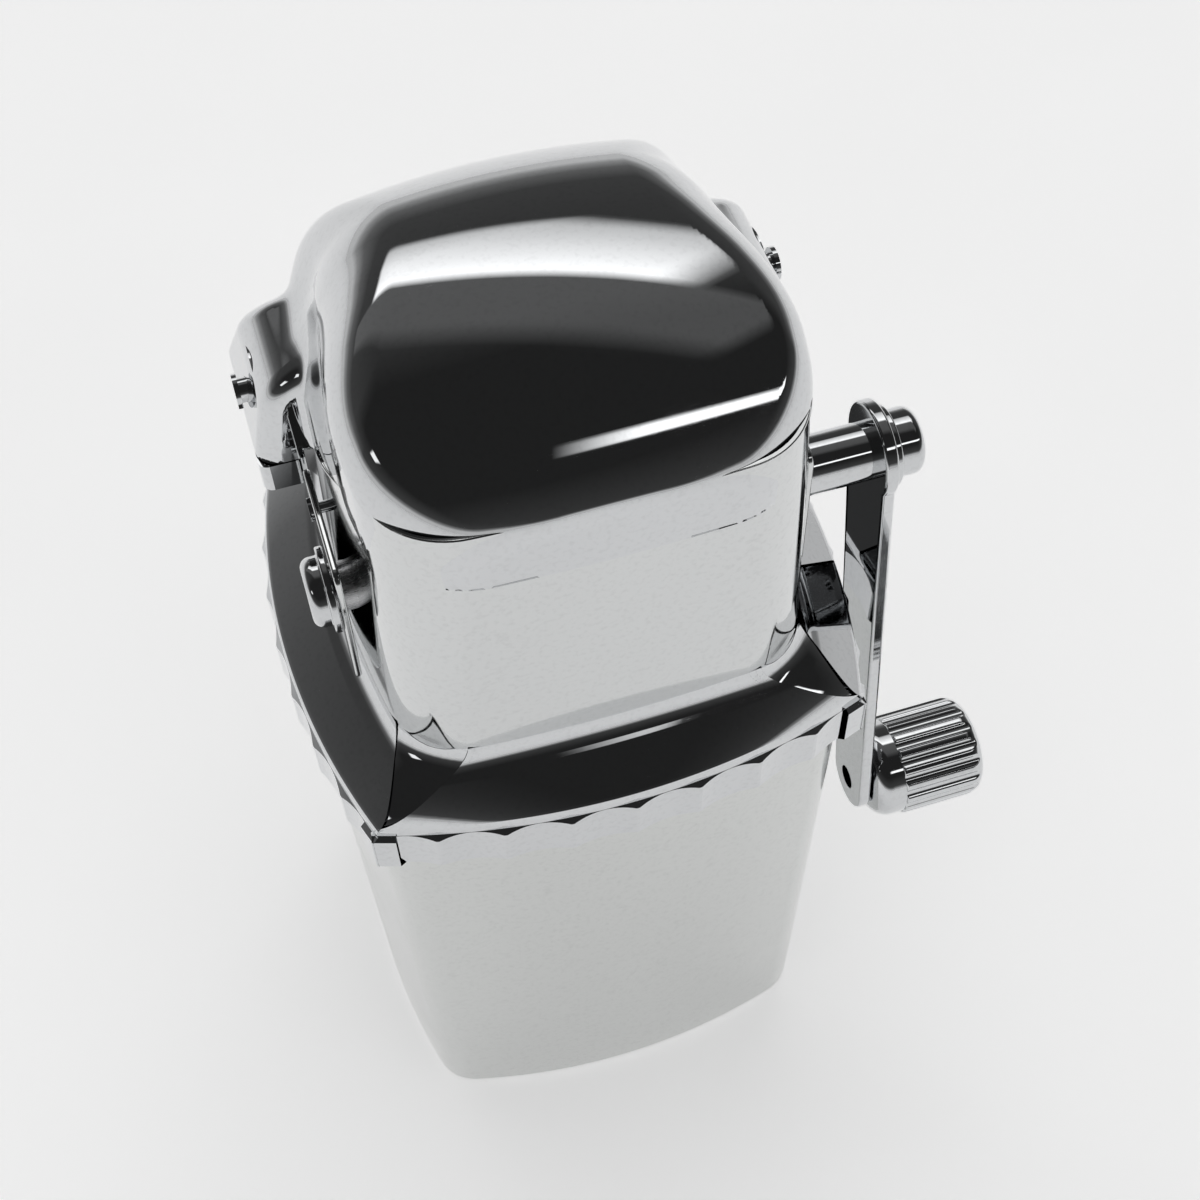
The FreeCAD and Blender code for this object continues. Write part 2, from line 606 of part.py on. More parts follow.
# ---------------------------------------------------------------- bearings
def bearing(name, side):
    """A flanged bush in the chamber's side wall and the bearing plate outside it."""
    inner = d.ChamberHalf - d.ChamberWall
    outer = d.ChamberHalf + d.PlateThick
    bore = d.ShaftRadius + d.RunFit
    length = outer - inner
    start = inner if side > 0 else -outer
    flange = outer if side > 0 else -(outer + d.BushFlangeThick)
    body = cylinder(name + "Body", d.BushRadius, length, start, SHAFT_Y, SHAFT_Z, "x")
    rim = cylinder(name + "Rim", d.BushFlange, d.BushFlangeThick, flange, SHAFT_Y, SHAFT_Z, "x")
    return cut(name, fuse(name + "Form", body, rim), shaft_hole(name + "Bore", bore))


def bearing_plate(name, side):
    start = d.ChamberHalf if side > 0 else -(d.ChamberHalf + d.PlateThick)
    blank = box(name + "Blank", start, -d.PlateFront, BASE_TOP, d.PlateThick,
                d.PlateFront + d.PlateRear, PLATE_TOP_Z - BASE_TOP)
    return cut(name, rounded(name + "Round", blank, d.SideCoverRound, along_x),
               shaft_hole(name + "Bore", d.BushRadius))


def make_bearings():
    for side, word in ((-1, "left"), (1, "right")):
        node(word + "_bearing", bearing(word.title() + "Bearing", side))
        node(word + "_bearing_plate", bearing_plate(word.title() + "Plate", side))


# ---------------------------------------------------------------- rotor
def blade(name, n):
    """A toothed disc: a hub and four hooked teeth, turned a little from one to the next."""
    x = (n - (BLADES - 1) / 2) * d.BladePitch - d.BladeThick / 2
    hub = cylinder(name + "Hub", d.BladeRoot, d.BladeThick, x, SHAFT_Y, SHAFT_Z, "x")
    teeth = []
    for k in range(TEETH):
        tooth = doc.addObject("Part::Box", "%sTooth%d" % (name, k))
        bind(tooth, Length=d.BladeThick, Width=d.ToothWidth, Height=d.BladeRadius)
        turn = 360 / TEETH * k + 360 / TEETH / BLADES * n
        place(tooth, x, SHAFT_Y - d.ToothWidth / 2 * math.cos(math.radians(turn)),
              SHAFT_Z - d.ToothWidth / 2 * math.sin(math.radians(turn)))
        tooth.Placement = Placement(tooth.Placement.Base, Rotation(Vector(1, 0, 0), turn))
        teeth.append(tooth)
    rim = cylinder(name + "Rim", d.BladeRadius, d.BladeThick, x, SHAFT_Y, SHAFT_Z, "x")
    toothed = common(name + "Trim", fuse(name + "Star", hub, *teeth), rim)
    return cut(name, toothed, shaft_hole(name + "Bore", d.ShaftRadius))


def spacer(name, start, length):
    body = cylinder(name + "Body", d.SpacerRadius, length, start, SHAFT_Y, SHAFT_Z, "x")
    return cut(name, body, shaft_hole(name + "Bore", d.ShaftRadius))


def make_rotor():
    left_end = -(COVER_OUTER + d.JointGap + d.NutWasherThick)
    shaft = cylinder("Shaft", d.ShaftRadius, ARM_OUTER - left_end, left_end, SHAFT_Y, SHAFT_Z,
                     "x")
    node("drive_shaft", shaft)
    node("rotor_blades", group("RotorBlades", *[blade("Blade%d" % n, n) for n in range(BLADES)]))
    gap = d.BladePitch - d.BladeThick
    first = (BLADES - 1) / 2 * d.BladePitch
    spacers = [spacer("Spacer%d" % n, d.BladeThick / 2 - first + n * d.BladePitch, gap)
               for n in range(BLADES - 1)]
    end = d.ChamberHalf - d.ChamberWall - d.JointGap
    length = end - first - d.BladeThick / 2
    spacers += [spacer("SpacerLeft", -end, length), spacer("SpacerRight", end - length, length)]
    node("rotor_spacers", group("RotorSpacers", *spacers))


def domed_nut(name, x, side):
    """A washer face and a round-ended cap nut on the shaft's axis, outwards from x."""
    washer = cylinder(name + "Washer", d.NutWasher, d.NutWasherThick,
                      x if side > 0 else x - d.NutWasherThick, SHAFT_Y, SHAFT_Z, "x")
    start = x + d.NutWasherThick if side > 0 else x - d.NutWasherThick - d.NutLength
    cap = cylinder(name + "Cap", d.NutRadius, d.NutLength, start, SHAFT_Y, SHAFT_Z, "x")
    end = number(start) + (number(d.NutLength) if side > 0 else 0)
    dome = rounded(name + "Dome", cap, d.NutRound,
                   lambda edge: edge.BoundBox.XLength < 0.01 and abs(edge.BoundBox.XMin - end) < 0.01)
    return fuse(name, washer, dome)


def make_crank():
    node("shaft_cap_nut", cut("LeftNutBored", domed_nut("LeftNut", -(COVER_OUTER + d.JointGap), -1),
                              cylinder("LeftNutBore", d.ShaftRadius, d.NutWasherThick,
                                       -(COVER_OUTER + d.JointGap + d.NutWasherThick), SHAFT_Y,
                                       SHAFT_Z, "x")))
    start = d.ChamberHalf + d.PlateThick + d.BushFlangeThick + d.JointGap
    sleeve = cylinder("SleeveBody", d.SleeveRadius, ARM_INNER - start, start, SHAFT_Y,
                      SHAFT_Z, "x")
    node("crank_sleeve", cut("Sleeve", sleeve, shaft_hole("SleeveBore", d.ShaftRadius)))
    node("crank_hub_nut", domed_nut("HubNut", ARM_OUTER, 1))
    node("crank_arm", arm())
    seat = ARM_OUTER + d.KnobGap + d.KnobLength - d.KnobCapThick * 2 + d.KnobFloat
    pin = cylinder("PinBody", d.KnobPin, seat - ARM_INNER, ARM_INNER, ARM_END_Y, ARM_END_Z, "x")
    head = cylinder("PinHead", d.KnobPinHead, d.KnobCapThick - d.KnobFloat * 2, seat, ARM_END_Y,
                    ARM_END_Z, "x")
    node("knob_pin", fuse("KnobPinForm", pin, head))


def tilt(item, angle):
    """Turns item about an axis along X through its own corner."""
    item.Placement = Placement(item.Placement.Base, Rotation(Vector(1, 0, 0), 1))
    item.setExpression("Placement.Rotation.Angle", text(angle))


def arm():
    """The flat crank arm: a hub disc, an end disc and a straight bar between them."""
    hub = cylinder("ArmHub", d.ArmHub, d.ArmThick, ARM_INNER, SHAFT_Y, SHAFT_Z, "x")
    end = cylinder("ArmEnd", d.ArmEnd, d.ArmThick, ARM_INNER, ARM_END_Y, ARM_END_Z, "x")
    bar = doc.addObject("Part::Box", "ArmBar")
    bind(bar, Length=d.ArmThick, Width=d.ArmEnd * 2, Height=d.ArmLength)
    place(bar, ARM_INNER, ARM_END_Y - d.ArmEnd * cosine(d.ArmTilt),
          ARM_END_Z + d.ArmEnd * sine(d.ArmTilt))
    tilt(bar, 0 - d.ArmTilt)
    tools = [shaft_hole("ArmBore", d.ShaftRadius),
             cylinder("ArmPinHole", d.KnobPin, d.ArmThick + 2, ARM_INNER - 1, ARM_END_Y, ARM_END_Z,
                      "x")]
    return cut("CrankArm", fuse("ArmForm", hub, bar, end), *tools)


def make_knob():
    """The fluted grip, its polished inner collar and the cap that hides the pin's head."""
    start = ARM_OUTER + d.KnobGap
    body = cylinder("KnobBody", d.KnobRadius, d.KnobLength - d.KnobCollarLength,
                    start + d.KnobCollarLength, ARM_END_Y, ARM_END_Z, "x")
    far = number(start + d.KnobLength)
    soft = rounded("KnobSoft", body, d.KnobRound,
                   lambda edge: abs(edge.BoundBox.XMin - far) < 0.01 and edge.BoundBox.XLength < 0.01)
    tools = []
    reach = d.KnobRadius + d.KnobFluteRadius - d.KnobFluteDepth
    for n in range(KNOB_FLUTES):
        turn = math.radians(360 / KNOB_FLUTES * n)
        tools.append(cylinder("KnobFlute%d" % n, d.KnobFluteRadius,
                              d.KnobLength - d.KnobCollarLength - d.KnobRound,
                              start + d.KnobCollarLength, ARM_END_Y + reach * math.cos(turn),
                              ARM_END_Z + reach * math.sin(turn), "x"))
    bore = cylinder("KnobBore", d.KnobPin + d.RunFit, d.KnobLength, start, ARM_END_Y, ARM_END_Z, "x")
    recess = cylinder("KnobRecess", d.KnobCapRadius, d.KnobCapThick * 2,
                      start + d.KnobLength - d.KnobCapThick * 2, ARM_END_Y, ARM_END_Z, "x")
    node("crank_knob", cut("Knob", soft, fuse("KnobTools", bore, recess, *tools)))
    collar = cylinder("CollarBody", d.KnobCollarRadius, d.KnobCollarLength, start, ARM_END_Y,
                      ARM_END_Z, "x")
    near = number(start)
    soft = rounded("CollarSoft", collar, d.KnobCollarRound,
                   lambda edge: abs(edge.BoundBox.XMin - near) < 0.01 and edge.BoundBox.XLength < 0.01)
    node("knob_collar", cut("KnobCollar", soft,
                            cylinder("CollarBore", d.KnobPin + d.RunFit, d.KnobCollarLength + 2,
                                     start - 1, ARM_END_Y, ARM_END_Z, "x")))
    cap = cylinder("KnobCapBody", d.KnobCapRadius, d.KnobCapThick,
                   start + d.KnobLength - d.KnobCapThick, ARM_END_Y, ARM_END_Z, "x")
    node("knob_end_cap", cap)


# ---------------------------------------------------------------- lid
def lid_outline(inset):
    return Outline(d.LidHalf, d.LidFront, d.DomeRadius - d.DomeBack, d.LidSideBow, d.TowerFrontBow,
                   d.LidCorner).inset(inset)


def band_outline(inset):
    return Outline(d.LidHalf, d.BandFront, d.DomeRadius * 1.6, d.LidSideBow, d.BandFrontBow,
                   d.BandCorner).inset(inset)


def turned_roof(name, back, height, radius, crown_radius):
    """A solid turned about an axis along X: its roof is an arc lengthwise and crowned across."""
    body = doc.addObject("PartDesign::Body", name)
    place(body, 0, back, height)
    sketch = new_sketch(body, name + "Sketch", "XZ_Plane")
    half, drop = number(d.EarHalf), number(radius - crown_radius)
    end = drop + math.sqrt(number(crown_radius) ** 2 - half ** 2)
    angle = math.atan2(end - drop, half)
    circle = Part.Circle(Vector(0, drop, 0), Vector(0, 0, 1), number(crown_radius))
    sketch.addGeometry(Part.ArcOfCircle(circle, angle, math.pi - angle))
    spots = [Vector(-half, end, 0), Vector(-half, 0, 0), Vector(half, 0, 0), Vector(half, end, 0)]
    for n in range(3):
        sketch.addGeometry(Part.LineSegment(spots[n], spots[n + 1]))
    for first, second in ((0, 1), (1, 2), (2, 3)):
        sketch.addConstraint(Sketcher.Constraint("Coincident", first, 2, second, 1))
    sketch.addConstraint(Sketcher.Constraint("Coincident", 3, 2, 0, 1))
    dimension(sketch, "Radius", 0, crown_radius)
    sketch.addConstraint(Sketcher.Constraint("PointOnObject", 0, 3, -2))
    dimension(sketch, "DistanceY", 0, 3, radius - crown_radius)
    for n, sign in ((1, -1), (3, 1)):
        sketch.addConstraint(Sketcher.Constraint("Vertical", n))
        dimension(sketch, "DistanceX", n, 1, d.EarHalf * sign)
    sketch.addConstraint(Sketcher.Constraint("PointOnObject", 2, 1, -1))
    sketch.addConstraint(Sketcher.Constraint("Horizontal", 2))
    turned = body.newObject("PartDesign::Revolution", name + "Turned")
    turned.Profile = sketch
    turned.ReferenceAxis = (sketch, ["H_Axis"])
    turned.Angle = 360
    return body


def dome(name, inset):
    """The raised band and the round back of the lid."""
    low = EAR_BOTTOM_Z - inset * 2
    plan = loft(name + "Plan", [(band_outline(inset), low), (band_outline(inset), LID_TOP_Z + 1)])
    roof = turned_roof(name + "Roof", 0 - d.DomeBack, LID_TOP_Z - d.DomeRadius,
                       d.DomeRadius - inset, d.CrownRadius - inset)
    form = common(name, plan, roof)
    return rounded(name + "Soft", form, d.DomeRound - inset, side_top_edge(form))


def nose(name, inset):
    """The lower hood in front of the band."""
    low = EAR_BOTTOM_Z - inset * 2
    plan = loft(name + "Plan", [(lid_outline(inset), low), (lid_outline(inset), LID_TOP_Z + 1)])
    roof = turned_roof(name + "Roof", 0 - d.NoseBack, LID_TOP_Z - d.NoseDrop - d.NoseRadius,
                       d.NoseRadius - inset, d.CrownRadius - inset)
    full = common(name + "Full", plan, roof)
    form = rounded(name + "Soft", full, d.NoseRound - inset, side_top_edge(full))
    limit = box(name + "Limit", -REACH * ONE, -REACH * ONE, low, 2 * REACH * ONE,
                REACH * ONE + d.EarFront + d.LidCorner, REACH * ONE)
    return common(name, form, limit)


def side_top_edge(form):
    """Chooses the edges where the roof of form meets its upright sides."""
    doc.recompute()
    walls = [face for face in form.Shape.Faces if is_upright(face)]
    roofs = [face for face in form.Shape.Faces if not is_upright(face) and not is_flat(face)]

    def chosen(edge):
        return any(has(face, edge) for face in walls) and any(has(face, edge) for face in roofs)

    return chosen


def has(face, edge):
    return any(edge.isSame(other) for other in face.Edges)


def normal(face):
    u0, u1, v0, v1 = face.ParameterRange
    return face.normalAt((u0 + u1) / 2, (v0 + v1) / 2)


def is_upright(face):
    return isinstance(face.Surface, Part.Cylinder) and abs(face.Surface.Axis.z) > 0.99


def is_flat(face):
    return abs(normal(face).z) > 0.9999


def ears(name, inset):
    """The wings beside the band that cover the hinge, as one bar across the lid."""
    half, low = d.EarHalf - inset, EAR_BOTTOM_Z - inset * 2
    shoulder = EAR_TOP_Z - d.EarShoulder
    top = EAR_TOP_Z + d.EarCrown - inset
    points = [(half, low), (half - d.EarLean, shoulder - inset), (d.EarNeck - inset, EAR_TOP_Z - inset),
              (d.EarNeck / 2, top), (-d.EarNeck / 2, top), (inset - d.EarNeck, EAR_TOP_Z - inset),
              (d.EarLean - half, shoulder - inset), (-half, low)]
    across = prism(name + "Across", "XZ_Plane", points, REACH * ONE)
    soft = rounded(name + "Soft", across, d.EarRound - inset,
                   lambda edge: along_y(edge) and abs(edge.BoundBox.Center.z
                                                      - number(shoulder - inset)) < 0.01)
    side = prism(name + "Side", "YZ_Plane",
                 [(d.EarFront + inset, low), (d.EarFront + inset, top + 1),
                  (d.EarTopRear - inset - d.EarSlope, top + 1), (d.EarTopRear - inset, EAR_TOP_Z),
                  (d.EarRear - inset, low)],
                 REACH * ONE)
    return common(name, soft, side)


def make_lid():
    outer = fuse("LidOuter", nose("Nose", 0 * d.LidWall), dome("Dome", 0 * d.LidWall))
    edge = prism("LidEdgeSide", "YZ_Plane",
                 [(-REACH, LID_EDGE_Z), (-d.SlopeStart, LID_EDGE_Z),
                  (d.EarFront, SHOULDER_Z + d.LidGap), (d.EarFront, HOOD_EDGE_Z),
                  (REACH, HOOD_EDGE_Z), (REACH, REACH * 2), (-REACH, REACH * 2)], REACH * ONE)
    side = d.TowerHalf + d.EarGap
    under = box("EarsOverShoulder", -side, -REACH * ONE, 0 * side, side * 2, 2 * REACH * ONE,
                SHOULDER_Z + d.LidGap)
    behind = box("EarsBehind", -side, d.EarFront + d.LidWall, 0 * side, side * 2, REACH * ONE,
                 HOOD_EDGE_Z)
    wings = cut("EarsTrimmed", ears("Ears", 0 * d.LidWall), under, behind)
    form = fuse("LidForm", common("LidTrimmed", outer, edge), wings)
    hollow = fuse("LidHollow", nose("NoseIn", d.LidWall), dome("DomeIn", d.LidWall),
                  ears("EarsIn", d.LidWall))
    holes = cylinder("LidPivotHoles", d.PivotRadius + d.RunFit, 2 * REACH, Size("0", 0) - REACH,
                     d.PivotBack, PIVOT_Z, "x")
    node("lid_shell", cut("Lid", form, hollow, holes))


# ---------------------------------------------------------------- hinge
def hinge_block(name):
    """The right block: a boss for the pivot on a foot, and the lip under the ear's front."""
    inner = d.BarrelHalf
    outer = d.EarHalf - d.LidWall - d.EarLean - d.EarGap
    reach = outer - inner
    side = d.TowerHalf + d.EarGap
    rear = d.EarFront + d.LipDepth
    boss = cylinder(name + "Boss", d.PivotBoss, reach, inner, d.PivotBack, PIVOT_Z, "x")
    foot = box(name + "Foot", inner, d.PivotBack - d.PivotBoss, SHOULDER_Z, reach,
               d.PivotBoss * 2, PIVOT_Z - SHOULDER_Z)
    clear = box(name + "Clear", inner - 1, -REACH * ONE, SHOULDER_Z - REACH, reach + 2,
                REACH * 2 * ONE, REACH * ONE)
    lip_top = EAR_BOTTOM_Z - d.LipGap
    lip = box(name + "Lip", side, d.EarFront, lip_top - d.LipHeight, d.EarHalf - side,
              d.LipDepth, d.LipHeight)
    behind = d.EarFront + d.LidWall + d.JointGap
    leg = box(name + "Leg", side, behind, lip_top - 1, outer - side, rear - behind,
              PIVOT_Z - lip_top + 1)
    bore = cylinder(name + "Bore", d.PivotRadius, reach, inner, d.PivotBack, PIVOT_Z, "x")
    upper = cut(name + "Upper", fuse(name + "Head", boss, foot), clear)
    soft = rounded(name + "LipSoft", lip, 2 * ONE, upright)
    return cut(name, fuse(name + "Form", upper, soft, leg), bore)


def pivot_screw(name):
    """The right pivot: a shoulder in the block and a low head outside the ear."""
    face = PIVOT_FACE + d.JointGap
    stem = cylinder(name + "Stem", d.PivotRadius, face - d.BarrelHalf, d.BarrelHalf, d.PivotBack,
                    PIVOT_Z, "x")
    head = cylinder(name + "Head", d.PivotHead, d.PivotHeadThick, face, d.PivotBack, PIVOT_Z,
                    "x")
    return fuse(name, stem, head)


def make_hinge():
    right = hinge_block("HingeBlock")
    node("right_hinge_block", right)
    node("left_hinge_block", mirrored("HingeBlockLeft", right))
    screw_right = pivot_screw("PivotScrew")
    node("lid_pivot_screws", group("PivotScrews", screw_right,
                                   mirrored("PivotScrewLeft", screw_right)))


# ---------------------------------------------------------------- build and export
ONE = Size("1", 1)
BLADES = int(number(d.BladeCount))
TEETH = int(number(d.ToothCount))
KNOB_FLUTES = int(number(d.KnobFlutes))
FLUTES_PER_SIDE = 8
SCREW_X = d.TowerHalf - d.ScrewInset
RIVET_Y = (d.TowerRear - d.TowerFront) / 2
SCREW_SPOTS = [(SCREW_X * sx, d.ScrewSpread * sy) for sx in (-1, 1) for sy in (-1, 1)]
COMB_SCREW_X = [d.BladePitch * -2, d.BladePitch * 2]
COMB_SCREW_Z = SHAFT_Z - d.CombDrop + d.CombThick / 2
PIVOT_FACE = d.EarHalf - d.EarLean / 3


def check_and_export():
    doc.recompute()
    for item in doc.Objects:
        bad = [state for state in item.State if state in ("Invalid", "Error")]
        if bad:
            raise SystemExit("%s (%s) did not build: %s" % (item.Name, item.Label, bad))
    os.makedirs("parts", exist_ok=True)
    for label, item in nodes.items():
        shape = item.Shape
        if shape.isNull() or not shape.isValid():
            raise SystemExit("%s has no valid shape" % label)
    for label, item in nodes.items():
        item.Shape.exportStep("parts/%s.step" % label)
        print("%-20s %2d solids %10.1f mm3" % (label, len(item.Shape.Solids), item.Shape.Volume))


make_cup()
make_base_ring()
make_housing_shell()
make_rear_cover()
make_side_covers()
make_chamber()
make_chamber_screws()
make_comb()
make_bearings()
make_rotor()
make_crank()
make_knob()
make_lid()
make_hinge()
check_and_export()
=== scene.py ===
"""Looks for a hand crank ice crusher: chromed lid, shell, ring and cup, crank and knob."""
import json
import math

import bpy
import numpy as np
from mathutils import Matrix, Vector


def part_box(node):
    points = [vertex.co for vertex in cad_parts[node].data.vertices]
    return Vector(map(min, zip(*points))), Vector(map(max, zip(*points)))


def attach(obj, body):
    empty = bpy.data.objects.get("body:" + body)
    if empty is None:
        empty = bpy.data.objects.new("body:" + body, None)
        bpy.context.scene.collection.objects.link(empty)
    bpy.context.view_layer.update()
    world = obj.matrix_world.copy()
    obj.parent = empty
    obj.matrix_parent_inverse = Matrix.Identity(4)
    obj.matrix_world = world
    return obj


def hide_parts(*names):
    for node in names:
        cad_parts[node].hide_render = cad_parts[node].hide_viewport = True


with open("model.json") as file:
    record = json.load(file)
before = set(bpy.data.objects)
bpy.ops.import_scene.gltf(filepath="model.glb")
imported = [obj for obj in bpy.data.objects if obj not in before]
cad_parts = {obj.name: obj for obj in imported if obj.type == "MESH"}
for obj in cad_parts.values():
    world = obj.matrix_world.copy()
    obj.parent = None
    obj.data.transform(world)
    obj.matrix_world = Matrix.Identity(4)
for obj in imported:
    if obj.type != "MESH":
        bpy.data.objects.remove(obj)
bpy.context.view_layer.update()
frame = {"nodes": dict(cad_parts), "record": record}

MM = 0.001
TAU = 2 * math.pi

# ---------------------------------------------------------------- sizes in millimetres
# outlines: half width, front reach, rear reach, side bow, front bow, corner radius
SKIRT = np.array([62.0, 62.0, 62.0, 165.0, 165.0, 8.0])
TOWER = np.array([47.0, 50.1, 41.5, 170.0, 476.0, 17.0])
CUP_TOP = np.array([59.3, 59.3, 59.3, 164.0, 164.0, 11.0])
CUP_BASE = np.array([56.0, 56.0, 56.0, 164.0, 164.0, 11.0])

CUP_FOOT, CUP_RIM, CUP_WALL, CUP_FLOOR = 0.6, 154.0, 1.6, 2.6
SKIRT_FOOT, RIDGE_TOP, RIM_TOP, RIM_ROUND = 143.0, 154.3, 157.2, 2.0
RIDGE_RISE, FLUTE_RADIUS, FLUTE_SKIN, FLUTE_STEP, FLUTES = 1.1, 24.3, 0.05, 4.8, 8
COVE_RADIUS, COVE_ANGLE, COVE_SHARE, RIM_SHARE = 7.0, 60.0, 0.27, 0.93
TOWER_DRAFT = 2.6
TOWER_FOOT = RIM_TOP + 7.5 + COVE_RADIUS * math.sin(math.radians(COVE_ANGLE))
SHOULDER = TOWER_FOOT + 36.84
LID_EDGE = TOWER_FOOT + 67.24
LID_GAP = 0.4
SHELL_THICK, SHELL_REAR, SLOPE_START, EAR_FRONT = 0.9, 32.0, 36.0, 5.0
SHAFT_Y, SHAFT_Z = -20.0, TOWER_FOOT + 24.24
ARM_LENGTH, ARM_TILT = 109.2, math.radians(8.4)
GRIP_Y = SHAFT_Y - ARM_LENGTH * math.sin(ARM_TILT)
GRIP_Z = SHAFT_Z - ARM_LENGTH * math.cos(ARM_TILT)


def low(node):
    """A node's lowest corner in millimetres."""
    return np.array(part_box(node)[0]) / MM


def high(node):
    """A node's highest corner in millimetres."""
    return np.array(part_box(node)[1]) / MM


def inset(shape, wall):
    """An outline moved inward by a wall's thickness."""
    return shape - wall


def towards(shape, other, share):
    """An outline part of the way from one to another."""
    return shape + (other - shape) * share


# ---------------------------------------------------------------- outlines
def arcs_of(shape):
    """Centre, radius and angles of the eight arcs of a square with bowed sides."""
    half, front, rear, bow_side, bow_front, corner = shape
    deep, middle = (front + rear) / 2, (rear - front) / 2
    side_x, front_y = half - bow_side, deep - bow_front
    reach = math.hypot(side_x, front_y)
    near, far = bow_side - corner, bow_front - corner
    along = (near ** 2 - far ** 2 + reach ** 2) / (2 * reach)
    across = math.sqrt(near ** 2 - along ** 2)
    ux, uy = -side_x / reach, front_y / reach
    cx, cy = max((side_x + along * ux - s * across * uy, along * uy + s * across * ux) for s in (1, -1))
    start = math.atan2(cy, cx - side_x)
    end = math.atan2(cy - front_y, cx)
    pi = math.pi
    arcs = [(side_x, 0, bow_side, -start, start), (cx, cy, corner, start, end),
            (0, front_y, bow_front, end, pi - end), (-cx, cy, corner, pi - end, pi - start),
            (-side_x, 0, bow_side, pi - start, pi + start), (-cx, -cy, corner, pi + start, pi + end),
            (0, -front_y, bow_front, pi + end, TAU - end), (cx, -cy, corner, TAU - end, TAU - start)]
    return np.array(arcs) + [0, middle, 0, 0, 0]


def columns(side_steps, corner_steps):
    """Arc numbers and shares along each arc, once round the outline."""
    spots = []
    for k in range(8):
        steps = corner_steps if k % 2 else side_steps
        spots += [(k, n / steps) for n in range(steps)]
    return np.array(spots)


def trace(shape, spots):
    """Points and outward normals of an outline at the given arc numbers and shares."""
    arcs = arcs_of(shape)[spots[:, 0].astype(int)]
    angle = arcs[:, 3] + (arcs[:, 4] - arcs[:, 3]) * spots[:, 1]
    normal = np.column_stack([np.cos(angle), np.sin(angle)])
    return arcs[:, :2] + arcs[:, 2:3] * normal, normal


# ---------------------------------------------------------------- meshes
def unit(vectors):
    """Vectors scaled to length one."""
    return vectors / np.maximum(np.linalg.norm(vectors, axis=-1, keepdims=True), 1e-12)


def gradient(field, points, step=0.02):
    """Unit outward normals of a field at the points."""
    shifts = np.eye(3) * step
    return unit(np.stack([field(points + shift) - field(points - shift) for shift in shifts], -1))


def slope(points, axis, wrap=False):
    """Differences between neighbouring points along an axis of a grid."""
    if wrap:
        return np.roll(points, -1, axis) - np.roll(points, 1, axis)
    return np.gradient(points, axis=axis, edge_order=2 if points.shape[axis] > 2 else 1)


NET_HALVINGS, NET_PULL, NET_CLAMP, NET_NUDGE, NET_CREASE = 14, 0.05, 0.6, 0.2, 0.8


